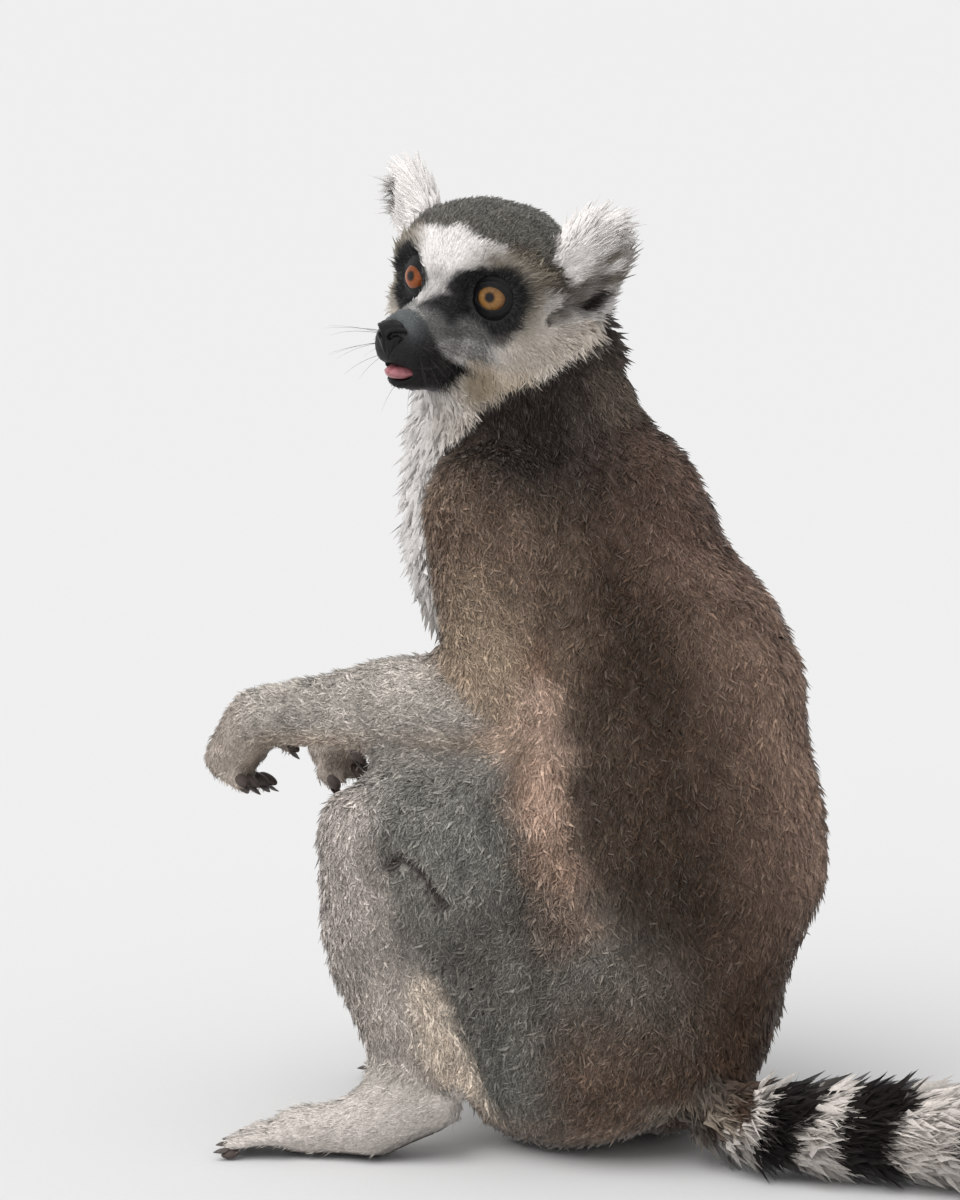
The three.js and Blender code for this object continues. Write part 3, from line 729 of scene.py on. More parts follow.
class Signal:
    """A value or colour on its way through a material's nodes. Sums and products of it add Math nodes."""

    def __init__(self, tree, socket=None):
        self.tree = tree
        self.socket = socket

    def node(self, kind, settings=None, sockets=None, out=0):
        """Adds a node: its settings, then its sockets by name or number. Gives one of its outputs."""
        made = self.tree.nodes.new(kind)
        for key, value in (settings or {}).items():
            if key == "stops":
                for _ in value[len(made.color_ramp.elements):]:
                    made.color_ramp.elements.new(1.0)
                for stop, (place, colour) in zip(made.color_ramp.elements, value):
                    stop.position = place
                    stop.color = colour
            else:
                setattr(made, key, value)
        for key, value in (sockets or {}).items():
            if isinstance(value, Signal):
                self.tree.links.new(value.socket, made.inputs[key])
            else:
                made.inputs[key].default_value = value
        return Signal(self.tree, made.outputs[out])

    def math(self, operation, first, second=0.0):
        """A Math node on two values or signals."""
        return self.node("ShaderNodeMath", {"operation": operation}, {0: first, 1: second})

    def mix(self, share, first, second, kind="MIX"):
        """One colour at share 0 and another at share 1."""
        first, second = (v if isinstance(v, Signal) else (*v, 1.0) for v in (first, second))
        settings = {"data_type": "RGBA", "blend_type": kind}
        return self.node("ShaderNodeMix", settings, {0: share, 6: first, 7: second}, 2)

    def __add__(self, other):
        return self.math("ADD", self, other)

    def __sub__(self, other):
        return self.math("SUBTRACT", self, other)

    def __rsub__(self, other):
        return self.math("SUBTRACT", other, self)

    def __mul__(self, other):
        return self.math("MULTIPLY", self, other)

    def __truediv__(self, other):
        return self.math("DIVIDE", self, other)

    __radd__ = __add__
    __rmul__ = __mul__


def noise(place, scale, detail):
    return place.node("ShaderNodeTexNoise", sockets={"Vector": place, "Scale": scale, "Detail": detail})


def cells(place, scale, feature="F1"):
    return place.node("ShaderNodeTexVoronoi", {"feature": feature}, {"Vector": place, "Scale": scale})


def scaled(colour, share):
    return colour.node("ShaderNodeVectorMath", {"operation": "SCALE"}, {0: colour, 3: share})


def axis_of(vector, number):
    """A vector's x, y or z."""
    return vector.node("ShaderNodeSeparateXYZ", sockets={0: vector}, out=number)


def carried(start, name, out):
    """What a piece carries at each vertex: a colour is output 0, a vector 1 and alpha 3."""
    return start.node("ShaderNodeAttribute", {"attribute_name": name}, out=out)


def relief(height, strength, depth):
    return height.node("ShaderNodeBump", sockets={"Strength": strength, "Distance": depth, "Height": height})


def finish(name, **settings):
    """A new material, and its shader with the settings that are the same all over."""
    material = bpy.data.materials.new(name)
    material.use_nodes = True
    shader = material.node_tree.nodes["Principled BSDF"]
    for key, value in settings.items():
        shader.inputs[key.replace("_", " ")].default_value = value
    return material, Signal(material.node_tree), shader


def feed(shader, key, signal):
    signal.tree.links.new(signal.socket, shader.inputs[key])


def hide_finish():
    """Skin under the coat: the coat's own colour, darker, with the fine lines of hair roots over it."""
    material, start, shader = finish("hide", Roughness=0.62, Specular_IOR_Level=0.35)
    tint, amount = carried(start, "tint", 0), carried(start, "tint", 3)
    place = start.node("ShaderNodeTexCoord", out=3)
    lines, pores, specks = noise(place, 900.0, 3.0), cells(place, 1400.0), noise(place, 2000.0, 2.0)
    shade = (0.68 + 0.5 * lines) * (1.0 + amount * (specks - 0.5) * 2.0)
    feed(shader, "Base Color", scaled(tint, shade))
    feed(shader, "Normal", relief(lines + pores * 0.5, 0.5, 0.0004))
    return material


PALE_TIP = "c4bdb6"


def fur_finish():
    """Hair: dark at the root, paler towards the tip. In a grizzled coat single tufts are darker or lighter,
    and some end in a pale tip."""
    material, start, shader = finish("fur", Roughness=0.8, Specular_IOR_Level=0.15, Sheen_Weight=0.3,
        Sheen_Roughness=0.3)
    tint, amount, strand = carried(start, "tint", 0), carried(start, "tint", 3), carried(start, "strand", 1)
    along, chance, luck = (axis_of(strand, number) for number in range(3))
    pepper = amount * (chance * chance - 0.33) + 1.0
    ticking = noise(start.node("ShaderNodeTexCoord", out=3), 1100.0, 2.0)
    shade = (0.86 + 0.2 * along) * pepper * (1.0 + (0.05 + amount) * (ticking - 0.5) * 2.4)
    plain = scaled(tint, shade)
    pale = start.node("ShaderNodeMapRange", {"interpolation_type": "SMOOTHSTEP"}, {0: luck, 1: 0.66, 2: 0.9})
    salt = pale * amount * along * along * 0.3
    feed(shader, "Base Color", start.mix(salt, plain, linear(PALE_TIP)))
    return material


def paint(piece, name, values):
    """Keeps a colour for each vertex on a piece."""
    layer = piece.data.color_attributes.new(name=name, type="FLOAT_COLOR", domain="POINT")
    layer.data.foreach_set("color", np.ascontiguousarray(values, np.float32).ravel())


def place_piece(piece, slot, *nodes):
    """The piece rides on the one body and stands for its CAD nodes. Its slot is not used."""
    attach(piece, "root")
    if nodes:
        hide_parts(*nodes)


def complete(piece, material, slot, *nodes):
    """Gives a smooth piece its material and its place."""
    piece.data.materials.append(material)
    piece.data.shade_smooth()
    place_piece(piece, slot, *nodes)


paint(skin, "tint", np.column_stack([tone, grizzle]))
complete(skin, hide_finish(), "bare_skin", *FLESH)


# Coat. Tufts of hair stand on the skin all over, each a thin closed blade with a bend, lying along the body
# and over its neighbours. They are made in pieces by part of the body, and each piece has its skin's unwrap.

QUICK_SHARE = 1.0
GUARD_SHARE = 0.18  # how many are longer, thinner hairs that stand out of the rest
BEND_AT = 0.45  # how far up a tuft it bends
ROOT_DEPTH = 0.25 * MM
UV_PATCH = 0.003  # breadth of one tuft's place on the map
FUR = fur_finish()
LEAF = np.array([(0, 2, 1), (3, 1, 2), (0, 1, 3), (0, 3, 2)])  # root, left, right and tip of a tuft
quads = read(skin.data.loops, "vertex_index", 1, np.int32).reshape(-1, 4)


def own_unwrap(chosen):
    """The skin's chosen faces laid flat: a map place for each of their corners."""
    used, numbers = np.unique(chosen, return_inverse=True)
    mesh = bpy.data.meshes.new("unwrap")
    mesh.from_pydata(at[used].tolist(), [], numbers.reshape(chosen.shape).tolist())
    sheet = add_object("unwrap", mesh)
    edit_all(sheet, bpy.ops.uv.smart_project, angle_limit=math.radians(66), island_margin=0.002)
    places = read(mesh.uv_layers.active.uv, "vector", 2).reshape(len(chosen), 4, 2)
    bpy.data.objects.remove(sheet)
    bpy.data.meshes.remove(mesh)
    return places


def grow(name, slot, nodes, where, tufts, seed):
    """One piece of coat, with this many tufts, on the skin of these nodes where `where` is true."""
    draw = np.random.default_rng(seed)
    numbers = [FLESH.index(node) for node in nodes]
    inside = np.isin(node_of, numbers) & where
    chosen = quads[inside[quads[:, 0]]]
    places = own_unwrap(chosen)
    corners = np.concatenate([chosen[:, [0, 1, 2]], chosen[:, [0, 2, 3]]])
    places = np.concatenate([places[:, [0, 1, 2]], places[:, [0, 2, 3]]])
    a, b, c = at[corners].transpose(1, 0, 2)
    weight = np.linalg.norm(np.cross(b - a, c - a), axis=1) * hair["crowd"][corners].mean(axis=1)
    weight *= np.all(hair["crowd"][corners] > 0, axis=1)
    tufts = int(tufts * QUICK_SHARE)
    order = np.argsort(np.round(a[:, 2], 2) * 1000 + a[:, 1], kind="stable")
    total = np.cumsum(weight[order])
    picks = order[np.searchsorted(total, (np.arange(tufts) + draw.random(tufts)) / tufts * total[-1])]
    share = draw.random((tufts, 2))
    share = np.where(share.sum(axis=1, keepdims=True) > 1, 1 - share, share)
    share = np.column_stack([1 - share.sum(axis=1), share])

    def at_roots(values):
        """The skin's values where the tufts stand."""
        return np.einsum("nk,nk...->n...", share, values[corners[picks]])

    root, normal, way = at_roots(at), unit(at_roots(skin_normals)), at_roots(lie)
    uv = np.einsum("nk,nkc->nc", share, places[picks])
    colour, grain_of = at_roots(tone), at_roots(grizzle)
    spot = root / MM
    unruly = at_roots(hair["curl"])
    guard = draw.random(tufts) < GUARD_SHARE
    locks = wobble(spot, 7, seed + 40) * 0.7 + wobble(spot, 30, seed + 41) * 0.4
    curl = draw.normal(size=tufts) * unruly + locks * unruly
    aside = np.cross(normal, way)
    way = unit(way + aside * curl[:, None])
    aside = unit(np.cross(normal, way))
    length = at_roots(hair["length"]) * draw.uniform(0.7, 1.12, tufts)
    length *= 1 + 0.1 * wobble(spot, 9, seed + 42)
    length *= np.where(guard, 1.35, 1.0)
    lift = np.radians(at_roots(hair["lift"]) * draw.uniform(0.55, 1.25, tufts) * np.where(guard, 1.8, 1.0))
    breadth = at_roots(hair["breadth"]) * draw.uniform(0.75, 1.2, tufts) * np.where(guard, 0.5, 1.0)
    length, breadth = length[:, None] * MM, breadth[:, None] * MM
    rise, fall = lift[:, None], lift[:, None] * draw.uniform(0.1, 0.6, (tufts, 1))
    veer = way + aside * draw.normal(size=(tufts, 1)) * unruly[:, None]
    root = root - normal * ROOT_DEPTH
    bend = root + length * BEND_AT * (way * np.cos(rise) + normal * np.sin(rise))
    tip = bend + length * (1 - BEND_AT) * (unit(veer) * np.cos(fall) + normal * np.sin(fall))
    blades = np.stack([root, bend + aside * breadth / 2, bend - aside * breadth / 2, tip], axis=1)
    blades[..., 2] = np.maximum(blades[..., 2], 0.0002 + 0.0004 * draw.random((tufts, 1)))

    mesh = bpy.data.meshes.new(name)
    piece = add_object(name, mesh)
    faces = (np.arange(tufts)[:, None, None] * 4 + LEAF).reshape(-1)
    mesh.vertices.add(tufts * 4)
    mesh.vertices.foreach_set("co", blades.astype(np.float32).ravel())
    mesh.loops.add(len(faces))
    mesh.loops.foreach_set("vertex_index", faces.astype(np.int32))
    mesh.polygons.add(tufts * 4)
    mesh.polygons.foreach_set("loop_start", np.arange(tufts * 4, dtype=np.int32) * 3)
    mesh.polygons.foreach_set("use_smooth", np.ones(tufts * 4, bool))
    mesh.update(calc_edges=True)
    offsets = np.array([(0, -0.5), (-0.5, 0), (0.5, 0), (0, 0.5)]) * UV_PATCH
    mapped = np.clip(uv[:, None, :] + offsets, 0, 1).reshape(-1, 2)[faces]
    mesh.uv_layers.new(name="OFBake").uv.foreach_set("vector", mapped.astype(np.float32).ravel())
    paint(piece, "tint", np.repeat(np.column_stack([colour, grain_of]), 4, axis=0))
    strand = np.empty((tufts, 4, 3), np.float32)
    strand[..., 0] = (0, BEND_AT, BEND_AT, 1)
    strand[..., 1] = draw.random((tufts, 1))
    strand[..., 2] = draw.random((tufts, 1))
    mesh.attributes.new("strand", "FLOAT_VECTOR", "POINT").data.foreach_set("vector", strand.ravel())
    soft = np.stack([normal, normal + aside * 0.35, normal - aside * 0.35, normal + way * 0.3], axis=1)
    mesh.normals_split_custom_set_from_vertices(unit(soft).reshape(-1, 3).tolist())
    mesh.materials.append(FUR)
    place_piece(piece, slot, *nodes)


everywhere = np.ones(len(at), bool)
face_half = face_points[:, 1] < 9
back_half = at[:, 1] > at[node_of == FLESH.index("trunk"), 1].mean()
COATS = [  # name and slot, the nodes it grows on, where on them, and how many thousands of tufts
    ("face", "pale", "head", face_half, 32), ("crown", "grey", "head", ~face_half, 31),
    ("ears", "pale", "ear_l ear_r", everywhere, 19), ("neck", "brown", "neck", everywhere, 20),
    ("back", "brown", "trunk", back_half, 47), ("chest", "brown", "trunk", ~back_half, 28),
    ("arm_l", "grey", "upper_arm_l forearm_l", everywhere, 32),
    ("arm_r", "grey", "upper_arm_r forearm_r", everywhere, 21),
    ("thigh_l", "grey", "thigh_l", everywhere, 38), ("thigh_r", "grey", "thigh_r", everywhere, 22),
    ("shins", "grey", "shin_l shin_r", everywhere, 27),
    ("hands_and_feet", "pale", "hand_l hand_r foot_l foot_r", everywhere, 26),
    ("tail_root", "tail", "tail_1 tail_2", everywhere, 17),
    ("tail_end", "tail", "tail_3 tail_4", everywhere, 15),
]
for seed, (name, slot, nodes, where, thousands) in enumerate(COATS, 1):
    grow("coat_" + name, "fur_" + slot, nodes.split(), where, thousands * 1000, seed)


# Eyes. Round balls with a bulging clear front. A small black pupil sits in an amber iris, which is streaked
# from the middle outwards and dark at its edge. The left iris is painted paler: a painted reflection over it.

IRIS_RADIUS = 6.05
PUPIL = 0.25  # as a share of the iris
GAZE = {"l": (18, 7.5), "r": (-10, 7.5)}  # degrees sideways and up from straight ahead
# the left pair of ambers is paler than the right: a painted reflection on the left iris
AMBER = {"l": ("845f33", "664422"), "r": ("8e4a20", "6b3616")}


def turned(points, way):
    """Points made round +z, turned so that +z lies along a direction and +y is nearly the head's up."""
    side = unit(np.cross(head_up, way))
    return points @ np.stack([side, np.cross(way, side), way])


def eye_finish(letter):
    """Wet and clear over an iris with rings of colour and fine streaks."""
    material, start, shader = finish("iris_" + letter, Roughness=0.4, Specular_IOR_Level=0.1,
        Coat_Weight=1.0, Coat_Roughness=0.015, Coat_IOR=1.3)
    inner, outer = (linear(shade) for shade in AMBER[letter])
    mark = carried(start, "iris", 1)
    out = axis_of(mark, 0)
    about = start.node("ShaderNodeVectorMath", {"operation": "MULTIPLY"}, {0: mark, 1: (0.5, 7.0, 7.0)})
    streaks, flecks = noise(about, 2.2, 4.0), noise(about, 0.7, 2.0)
    edge = out + (streaks - 0.5) * 0.06
    black = (0.004, 0.003, 0.003)
    bands = [(0.0, black), (PUPIL - 0.01, black), (PUPIL + 0.03, outer * 0.35), (0.42, inner), (0.68, inner),
        (0.9, outer), (0.985, (0.03, 0.018, 0.012)), (1.05, (0.008, 0.006, 0.006))]
    stops = [(reach / 1.2, (*colour, 1)) for reach, colour in bands]
    rings = start.node("ShaderNodeValToRGB", {"stops": stops}, {0: edge / 1.2})
    upper = start.math("MAXIMUM", axis_of(mark, 2), 0.0)  # shaded by the upper lid
    shade = (0.25 + 1.3 * streaks + 0.25 * flecks) * (1.0 - 0.85 * upper * out)
    feed(shader, "Base Color", scaled(rings, shade))
    return material


for letter, sign in EYES.items():
    bpy.ops.mesh.primitive_uv_sphere_add(segments=64, ring_count=44, radius=1)
    ball = named(bpy.context.active_object, "eyeball_" + letter)
    shape = points_of(ball)
    off_axis = np.degrees(np.arccos(np.clip(shape[:, 2], -1, 1)))
    across = np.hypot(shape[:, 0], shape[:, 1]) * EYE_RADIUS / IRIS_RADIUS
    across = np.where(off_axis > 80, 2.0, across)
    away = np.degrees(np.arctan2(shape[:, 1], shape[:, 0]))
    reach = EYE_RADIUS + 0.75 * fade(off_axis, 22, 46)
    gaze = head_way(*np.radians(GAZE[letter])) @ head_axes
    write_points(ball, turned(shape * reach[:, None] * MM, gaze) + middle("eye_" + letter))
    marks = np.column_stack([across, np.cos(np.radians(away)), np.sin(np.radians(away))]).astype(np.float32)
    ball.data.attributes.new("iris", "FLOAT_VECTOR", "POINT").data.foreach_set("vector", marks.ravel())
    complete(ball, eye_finish(letter), "eye", "eye_" + letter)


# Lids. A ring of bare black skin lies close over each eyeball. It has a rounded wet rim, a point at the
# inner corner, and two or three folds that run round it, deepest above the eye.

LID_OPENING = (41.5, (27.0, 30.5))  # half its breadth, and its height above and below, in degrees
LID_EDGE = 94.0
LID_PROFILE = [  # how far past the rim, in degrees, and how far out from the eye's middle, in mm
    (0, 9.0), (0.7, 9.3), (2.5, 9.5), (5, 9.64), (8, 9.66), (10, 9.5), (13, 9.84), (17, 10.16), (19.5, 10.14),
    (21.5, 10.04), (25, 10.5), (32, 10.85), (40, 10.8), (50, 10.1), (60, 9.0),
]


def leather_finish(name, colour, shine, grain_size):
    """Bare leathery skin: cobbled fine grain, broken by wrinkles, and a little moist."""
    material, start, shader = finish(name, Specular_IOR_Level=0.25)
    place = start.node("ShaderNodeTexCoord", out=3)
    cobbles = cells(place, 1.0 / grain_size, "SMOOTH_F1")
    fine, broad = noise(place, 0.8 / grain_size, 4.0), noise(place, 160.0, 2.0)
    shade = 0.55 + 0.5 * fine + 0.45 * broad
    plain = start.mix(broad, linear(colour), linear(colour) * (1.5, 1.45, 1.5))
    feed(shader, "Base Color", scaled(plain, shade))
    feed(shader, "Roughness", shine + 0.25 * (fine - 0.5))
    feed(shader, "Normal", relief(cobbles * -0.7 + fine * 0.6, 0.55, 0.00025))
    return material


LID_SKIN = leather_finish("lid_skin", "0c0b0d", 0.45, 0.0006)
for letter, sign in EYES.items():
    bpy.ops.mesh.primitive_torus_add(major_segments=96, minor_segments=44, major_radius=2, minor_radius=1)
    lid = named(bpy.context.active_object, "lids_" + letter)
    shape = points_of(lid)
    about = np.arctan2(shape[:, 1], shape[:, 0])
    turn = np.arctan2(shape[:, 2], np.hypot(shape[:, 0], shape[:, 1]) - 2)
    share = (1 - np.abs(turn) / math.pi) ** 1.6
    half_height = np.where(np.sin(about) > 0, *LID_OPENING[1])
    opening = 1 / np.hypot(np.cos(about) / LID_OPENING[0], np.sin(about) / half_height)
    inner_corner = math.pi + 0.25 if sign > 0 else -0.25
    to_corner = np.abs((about - inner_corner + math.pi) % (2 * math.pi) - math.pi)
    opening += 7.0 * np.exp(-(to_corner / 0.24) ** 2)
    past_rim = share * (LID_EDGE - opening)
    ring = np.stack([np.cos(about), np.sin(about), share * 2], axis=1) * 5
    reach = np.interp(past_rim, *zip(*LID_PROFILE))
    smooth = np.interp(past_rim, (0, 2.5, 5, 17, 32, 40, 60), (9.0, 9.5, 9.64, 10.1, 10.8, 10.75, 9.0))
    fold_depth = 0.55 + 0.45 * np.sin(about) + 0.25 * wobble(ring, 4, 31)
    reach = smooth + (reach - smooth) * np.clip(fold_depth, 0.15, 1.3) + 0.06 * wobble(ring, 2.2, 32)
    reach = np.where(turn > 0, reach, np.minimum(reach, EYE_RADIUS + 0.13))
    down = np.radians(opening + past_rim)
    lid_at = np.stack([np.sin(down) * np.cos(about), np.sin(down) * np.sin(about), np.cos(down)], axis=1)
    lid_axis = head_way(sign * LID_SIDEWAYS, LID_UP) @ head_axes
    write_points(lid, turned(lid_at * reach[:, None] * MM, lid_axis) + middle("eye_" + letter))
    complete(lid, LID_SKIN, "bare_skin", "eye_" + letter)


# Nose. A bare moist pad at the tip of the muzzle with a comma-shaped nostril on each side, a raised wing over
# each nostril, and a groove down the middle to the lip.

NOSTRIL = [(2.3, -41.6, -14.9), (3.4, -40.9, -13.3), (5.0, -39.6, -12.7), (6.5, -37.4, -13.2)]


def soft_copy(node, name, swell, voxel, rounds):
    """A node's copy, swollen, remeshed with finer faces and smoothed."""
    piece = named(copy_of(node), name)
    piece.data.materials.clear()
    modify(piece, "DISPLACE", strength=swell * MM, mid_level=0.0)
    modify(piece, "REMESH", mode="VOXEL", voxel_size=voxel * MM)
    modify(piece, "SMOOTH", factor=0.5, iterations=rounds)
    return piece


nose = soft_copy("nose", "nose_pad", 0.55, 0.3, 16)
nose_at = points_of(nose)
nose_points = in_head(nose_at)
nose_side, _, nose_height = nose_points.T
from_nostril = near_line(one_sided(nose_points), NOSTRIL)
sunk = 2.3 * fade(from_nostril, 0.3, 1.35)
sunk -= 0.55 * np.exp(-((from_nostril - 1.9) / 0.6) ** 2) * ramp(nose_height, -14.5, -12)
groove = fade(np.abs(nose_side), 0.15, 0.9) * ramp(-nose_height, 12.0, 15.0)
sunk += 0.8 * groove
write_points(nose, nose_at - normals_of(nose) * sunk[:, None] * MM)
complete(nose, leather_finish("nose_leather", "0c0c0d", 0.38, 0.0005), "bare_skin", "nose")


# Tongue. Its pink tip shows in the open mouth, with a shallow groove down the middle and fine bumps.

tongue = soft_copy("tongue", "tongue_tip", 0.5, 0.4, 14)
tongue_at = points_of(tongue)
off_middle = np.abs(in_head(tongue_at)[:, 0] - in_head(middle("tongue"))[0])
middle_line = fade(off_middle, 0.2, 1.5)
sunk = 0.6 * middle_line * ramp(normals_of(tongue) @ head_up, 0.2, 0.7)
write_points(tongue, tongue_at - normals_of(tongue) * sunk[:, None] * MM)
material, start, shader = finish("tongue_flesh", Specular_IOR_Level=0.5, Coat_Weight=0.4, Coat_Roughness=0.2)
place = start.node("ShaderNodeTexCoord", out=3)
buds, blush = cells(place, 2600.0), noise(place, 260.0, 3.0)
feed(shader, "Base Color", start.mix(blush, linear("8a4a50"), linear("b87a80")))
feed(shader, "Roughness", 0.3 + 0.25 * blush)
feed(shader, "Normal", relief(buds, 0.5, 0.0002))
complete(tongue, material, "tongue", "tongue")


# Digits. Each finger and toe ends in a rounded leathery pad, dark grey-brown, and a flat dark nail over it.

DIGITS = 5


def peaks(values, rounds):
    """The skin vertices whose value is the highest for some way round them."""
    best = values.copy()
    one, other = edge_ends.T
    for _ in range(rounds):
        spread = best.copy()
        np.maximum.at(spread, one, best[other])
        np.maximum.at(spread, other, best[one])
        best = spread
    return np.flatnonzero(best == values)


def digit_ends(node):
    """For each digit of a hand or foot: its tip, the way that it points, and the way that its nail faces."""
    own = node_of == FLESH.index(node)
    if node.startswith("foot"):
        way, nail_side = grain(node, "shin" + node[-2:]) * (1, 1, 0), np.array([0, 0, 1.0])
    else:
        way, nail_side = np.array([0, 0.85, -0.5]), np.array([0, 0.1, -1.0])
    tips = [tip for tip in peaks(at @ unit(way), 4) if own[tip]]
    tips.sort(key=lambda tip: -at[tip] @ way)
    for tip in tips[:DIGITS]:
        near = own & (np.linalg.norm(at - at[tip], axis=1) < 0.009)
        pointing = unit(unit(at[tip] - at[near].mean(axis=0)) + unit(way) * 0.6)
        yield at[tip], pointing, unit(nail_side - pointing * (nail_side @ pointing))


def rounded(radii, place, pointing, facing, shape_on=None):
    """A small rounded body: its length runs along a direction, and its height faces another."""
    bpy.ops.mesh.primitive_uv_sphere_add(segments=20, ring_count=12, radius=1)
    piece = bpy.context.active_object
    points = points_of(piece)
    if shape_on:
        points = shape_on(points)
    across = np.cross(facing, pointing)
    write_points(piece, place + (points * radii * MM) @ np.stack([pointing, across, facing]))
    return piece


def nail_shape(points):
    """Arched across, drawn in towards a blunt end and bent down over it."""
    long, broad, high = points.T
    broad = broad * (1 - 0.35 * ramp(long, 0.1, 1.0))
    high = high - 1.9 * broad ** 2 - 1.2 * ramp(long, 0, 1.3)
    return np.stack([long, broad, high], axis=1)


def set_down(pieces, name, material):
    """One piece made of all the pads or nails, none of it in the ground."""
    whole = join_up(pieces, name)
    points = points_of(whole)
    points[:, 2] = np.maximum(points[:, 2], 0.3 * MM)
    write_points(whole, points)
    complete(whole, material, "bare_skin")


PADS = {"hand": ((4.6, 2.7, 2.1), 2.6), "foot": ((3.9, 2.7, 2.0), 2.2)}  # radii and depth under the nail
NAIL_RADII = (3.6, 2.1, 0.5)
pads, nails = [], []
for node, part in zip(FLESH, PARTS):
    if part in PADS:
        pad_radii, pad_depth = PADS[part]
        for tip, pointing, facing in digit_ends(node):
            place = tip - (pointing * 3.2 + facing * pad_depth) * MM
            pads.append(rounded(pad_radii, place, pointing, facing))
            place = tip + (pointing * 0.2 + facing * 0.2) * MM
            nails.append(rounded(NAIL_RADII, place, pointing, facing, nail_shape))
set_down(pads, "digit_pads", leather_finish("pad_leather", "443c38", 0.5, 0.0007))
set_down(nails, "nails", leather_finish("nail_horn", "4a4441", 0.3, 0.0016))


# Whiskers. Stiff dark hairs that stand out and back from the lips, with a few over the eyes and on the chin.

WHISKER_SIDES, WHISKER_STEPS = 3, 8
WHISKERS = [  # root in the head's frame for the left side, direction, and length in mm
    ((8.0, -31.0, -17.5), (0.75, -0.60, 0.05), 26), ((9.5, -27.5, -18.0), (0.90, -0.35, 0.00), 32),
    ((10.0, -24.0, -18.5), (0.95, -0.10, -0.05), 34), ((10.5, -20.5, -19.5), (0.95, 0.20, -0.10), 30),
    ((8.0, -30.0, -20.5), (0.75, -0.55, -0.20), 24), ((9.5, -26.5, -21.5), (0.88, -0.30, -0.28), 29),
    ((10.0, -23.0, -22.0), (0.90, 0.00, -0.35), 30), ((10.5, -19.0, -22.5), (0.88, 0.30, -0.35), 26),
    ((7.5, -29.0, -24.0), (0.65, -0.50, -0.50), 19), ((9.0, -24.5, -25.0), (0.75, -0.15, -0.60), 22),
    ((16.0, -3.0, 14.5), (0.40, -0.45, 0.95), 14), ((20.0, -1.5, 15.0), (0.60, -0.35, 0.95), 15),
    ((22.0, -3.0, -18.0), (0.80, -0.50, -0.35), 16),
    ((4.0, -26.0, -39.0), (0.25, -0.55, -0.80), 12),
]
draw = np.random.default_rng(77)
points, faces = [], []
steps = np.linspace(0, 1, WHISKER_STEPS)
around = np.arange(WHISKER_SIDES) * 2 * math.pi / WHISKER_SIDES
for sign in (1, -1):
    for root, way, reach in WHISKERS:
        near = np.argmin(np.linalg.norm(face_points - np.array(root) * (sign, 1, 1), axis=1))
        way = unit(np.array(way) * (sign, 1, 1) + draw.normal(size=3) * 0.06)
        reach = reach * draw.uniform(0.85, 1.1)
        sag = np.array([0, 0.25, -0.2]) * draw.uniform(0.5, 1.2)
        line = face_points[near] + steps[:, None] * reach * way + steps[:, None] ** 2 * reach * sag
        line[0] -= way * 1.0
        side = unit(np.cross(way, (0, 0, 1.0)))
        over = np.cross(side, way)
        thick = 0.10 * (1 - 0.85 * steps)
        circle = np.cos(around)[:, None] * side + np.sin(around)[:, None] * over
        tube = line[:, None] + thick[:, None, None] * circle
        first = len(points)
        points.extend(from_head(tube.reshape(-1, 3)).tolist())
        for step in range(WHISKER_STEPS - 1):
            for n in range(WHISKER_SIDES):
                here = first + step * WHISKER_SIDES + n
                beside = first + step * WHISKER_SIDES + (n + 1) % WHISKER_SIDES
                faces.append((here, here + WHISKER_SIDES, beside + WHISKER_SIDES, beside))
        last = first + (WHISKER_STEPS - 1) * WHISKER_SIDES
        faces.append(tuple(first + n for n in range(WHISKER_SIDES)))
        faces.append(tuple(last + n for n in reversed(range(WHISKER_SIDES))))
mesh = bpy.data.meshes.new("whiskers")
mesh.from_pydata(points, [], faces)
whiskers = add_object("whiskers", mesh)
edit_all(whiskers, bpy.ops.mesh.normals_make_consistent, inside=False)
material, start, shader = finish("whisker_hair", Roughness=0.4)
blend = noise(start.node("ShaderNodeTexCoord", out=3), 90.0, 1.0)
feed(shader, "Base Color", start.mix(blend, linear("171413"), linear("4a403a")))
complete(whiskers, material, "fur_grey")


# Studio. A pale floor that meets a sky of its own colour, soft light from all round, one very broad lamp from
# the front left and a small one for a glint in the eyes. The camera stands at the animal's left.

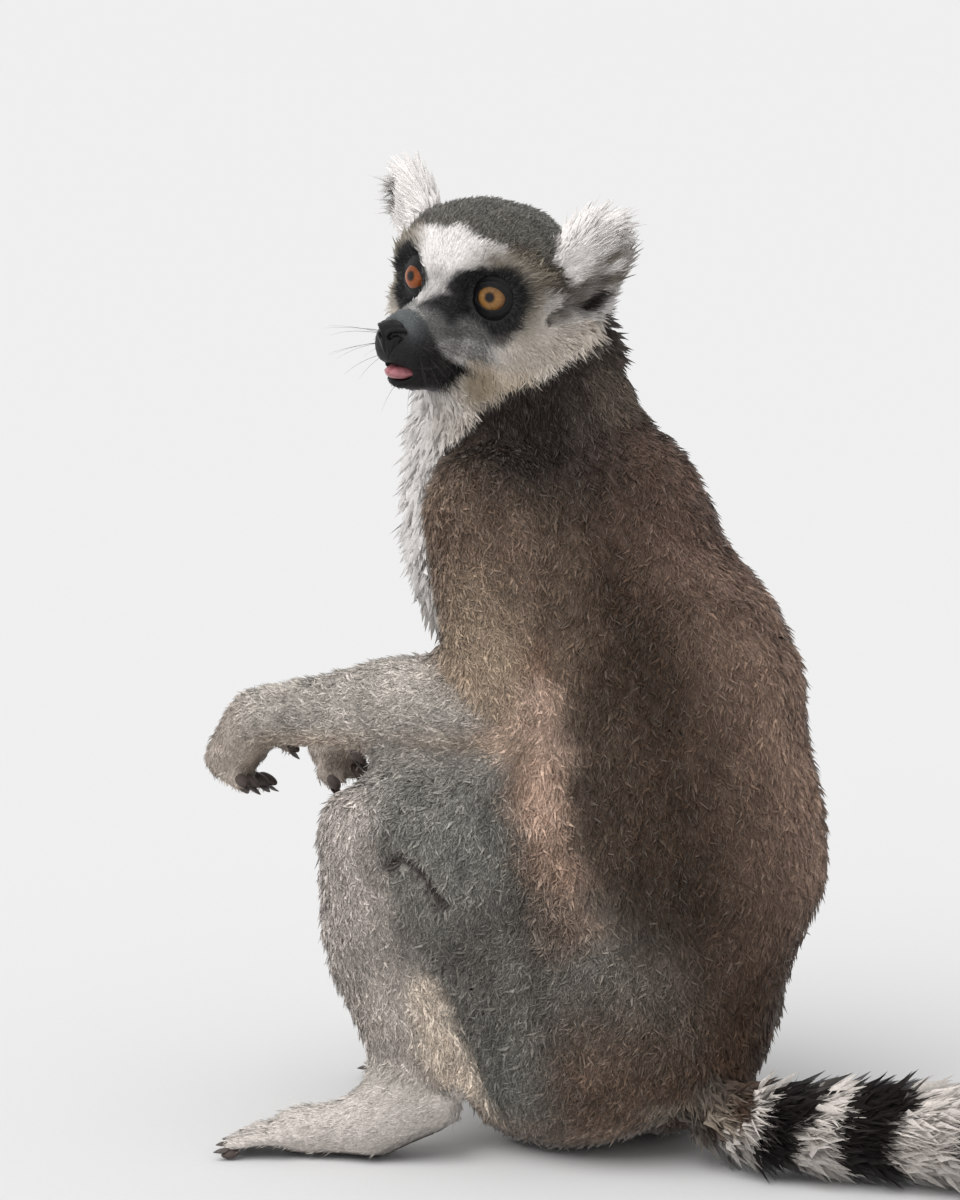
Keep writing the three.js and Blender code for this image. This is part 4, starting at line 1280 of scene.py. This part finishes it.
SKY_LIGHT, LAMP_LIGHT, PAPER = 0.9, 1.8, 0.63
LAMP_FROM = (0.73, -0.31, 1.15)
floor_glow = PAPER * (SKY_LIGHT + LAMP_LIGHT * unit(np.array(LAMP_FROM))[2] / math.pi)

bpy.ops.mesh.primitive_circle_add(vertices=96, radius=30, fill_type="NGON")
floor = named(bpy.context.active_object, "floor")
material, start, shader = finish("studio_paper", Roughness=1.0, Specular_IOR_Level=0.0)
fibres = noise(start.node("ShaderNodeTexCoord", out=3), 400.0, 2.0)
feed(shader, "Base Color", start.mix(fibres, (PAPER - 0.01,) * 3, (PAPER + 0.01,) * 3))
floor.data.materials.append(material)

world = bpy.data.worlds.new("soft_sky")
bpy.context.scene.world = world
world.use_nodes = True
sky = Signal(world.node_tree)
seen = sky.node("ShaderNodeLightPath", out=0)
light = sky.node("ShaderNodeBackground", sockets={0: (1, 1, 1, 1), 1: SKY_LIGHT})
backdrop = sky.node("ShaderNodeBackground", sockets={0: (floor_glow, floor_glow, floor_glow, 1), 1: 1.0})
both = sky.node("ShaderNodeMixShader", sockets={0: seen, 1: light, 2: backdrop})
world.node_tree.links.new(both.socket, world.node_tree.nodes["World Output"].inputs[0])

lamp = add_object("broad_lamp", bpy.data.lights.new("broad_lamp", "SUN"))
lamp.data.energy = LAMP_LIGHT
lamp.data.angle = math.radians(50)
lamp.visible_glossy = False
lamp.rotation_euler = Vector(LAMP_FROM).to_track_quat("Z", "Y").to_euler()
glint = add_object("glint", bpy.data.lights.new("glint", "AREA"))
glint.data.size = 0.1
glint.data.energy = 1.3
glint.location = (1.5, 0.05, 1.15)
glint.rotation_euler = (Vector(glint.location) - Vector(middle("eye_l"))).to_track_quat("Z", "Y").to_euler()

camera = add_object("camera", bpy.data.cameras.new("camera"))
camera.data.lens = 117.6
camera.data.sensor_width = 36.0
camera.location = (1.43969, 0.69875, 0.46244)
camera.rotation_euler = (math.radians(90 - 8.5), 0, math.radians(118))
bpy.context.scene.camera = camera
bpy.context.scene.view_settings.view_transform = "Standard"
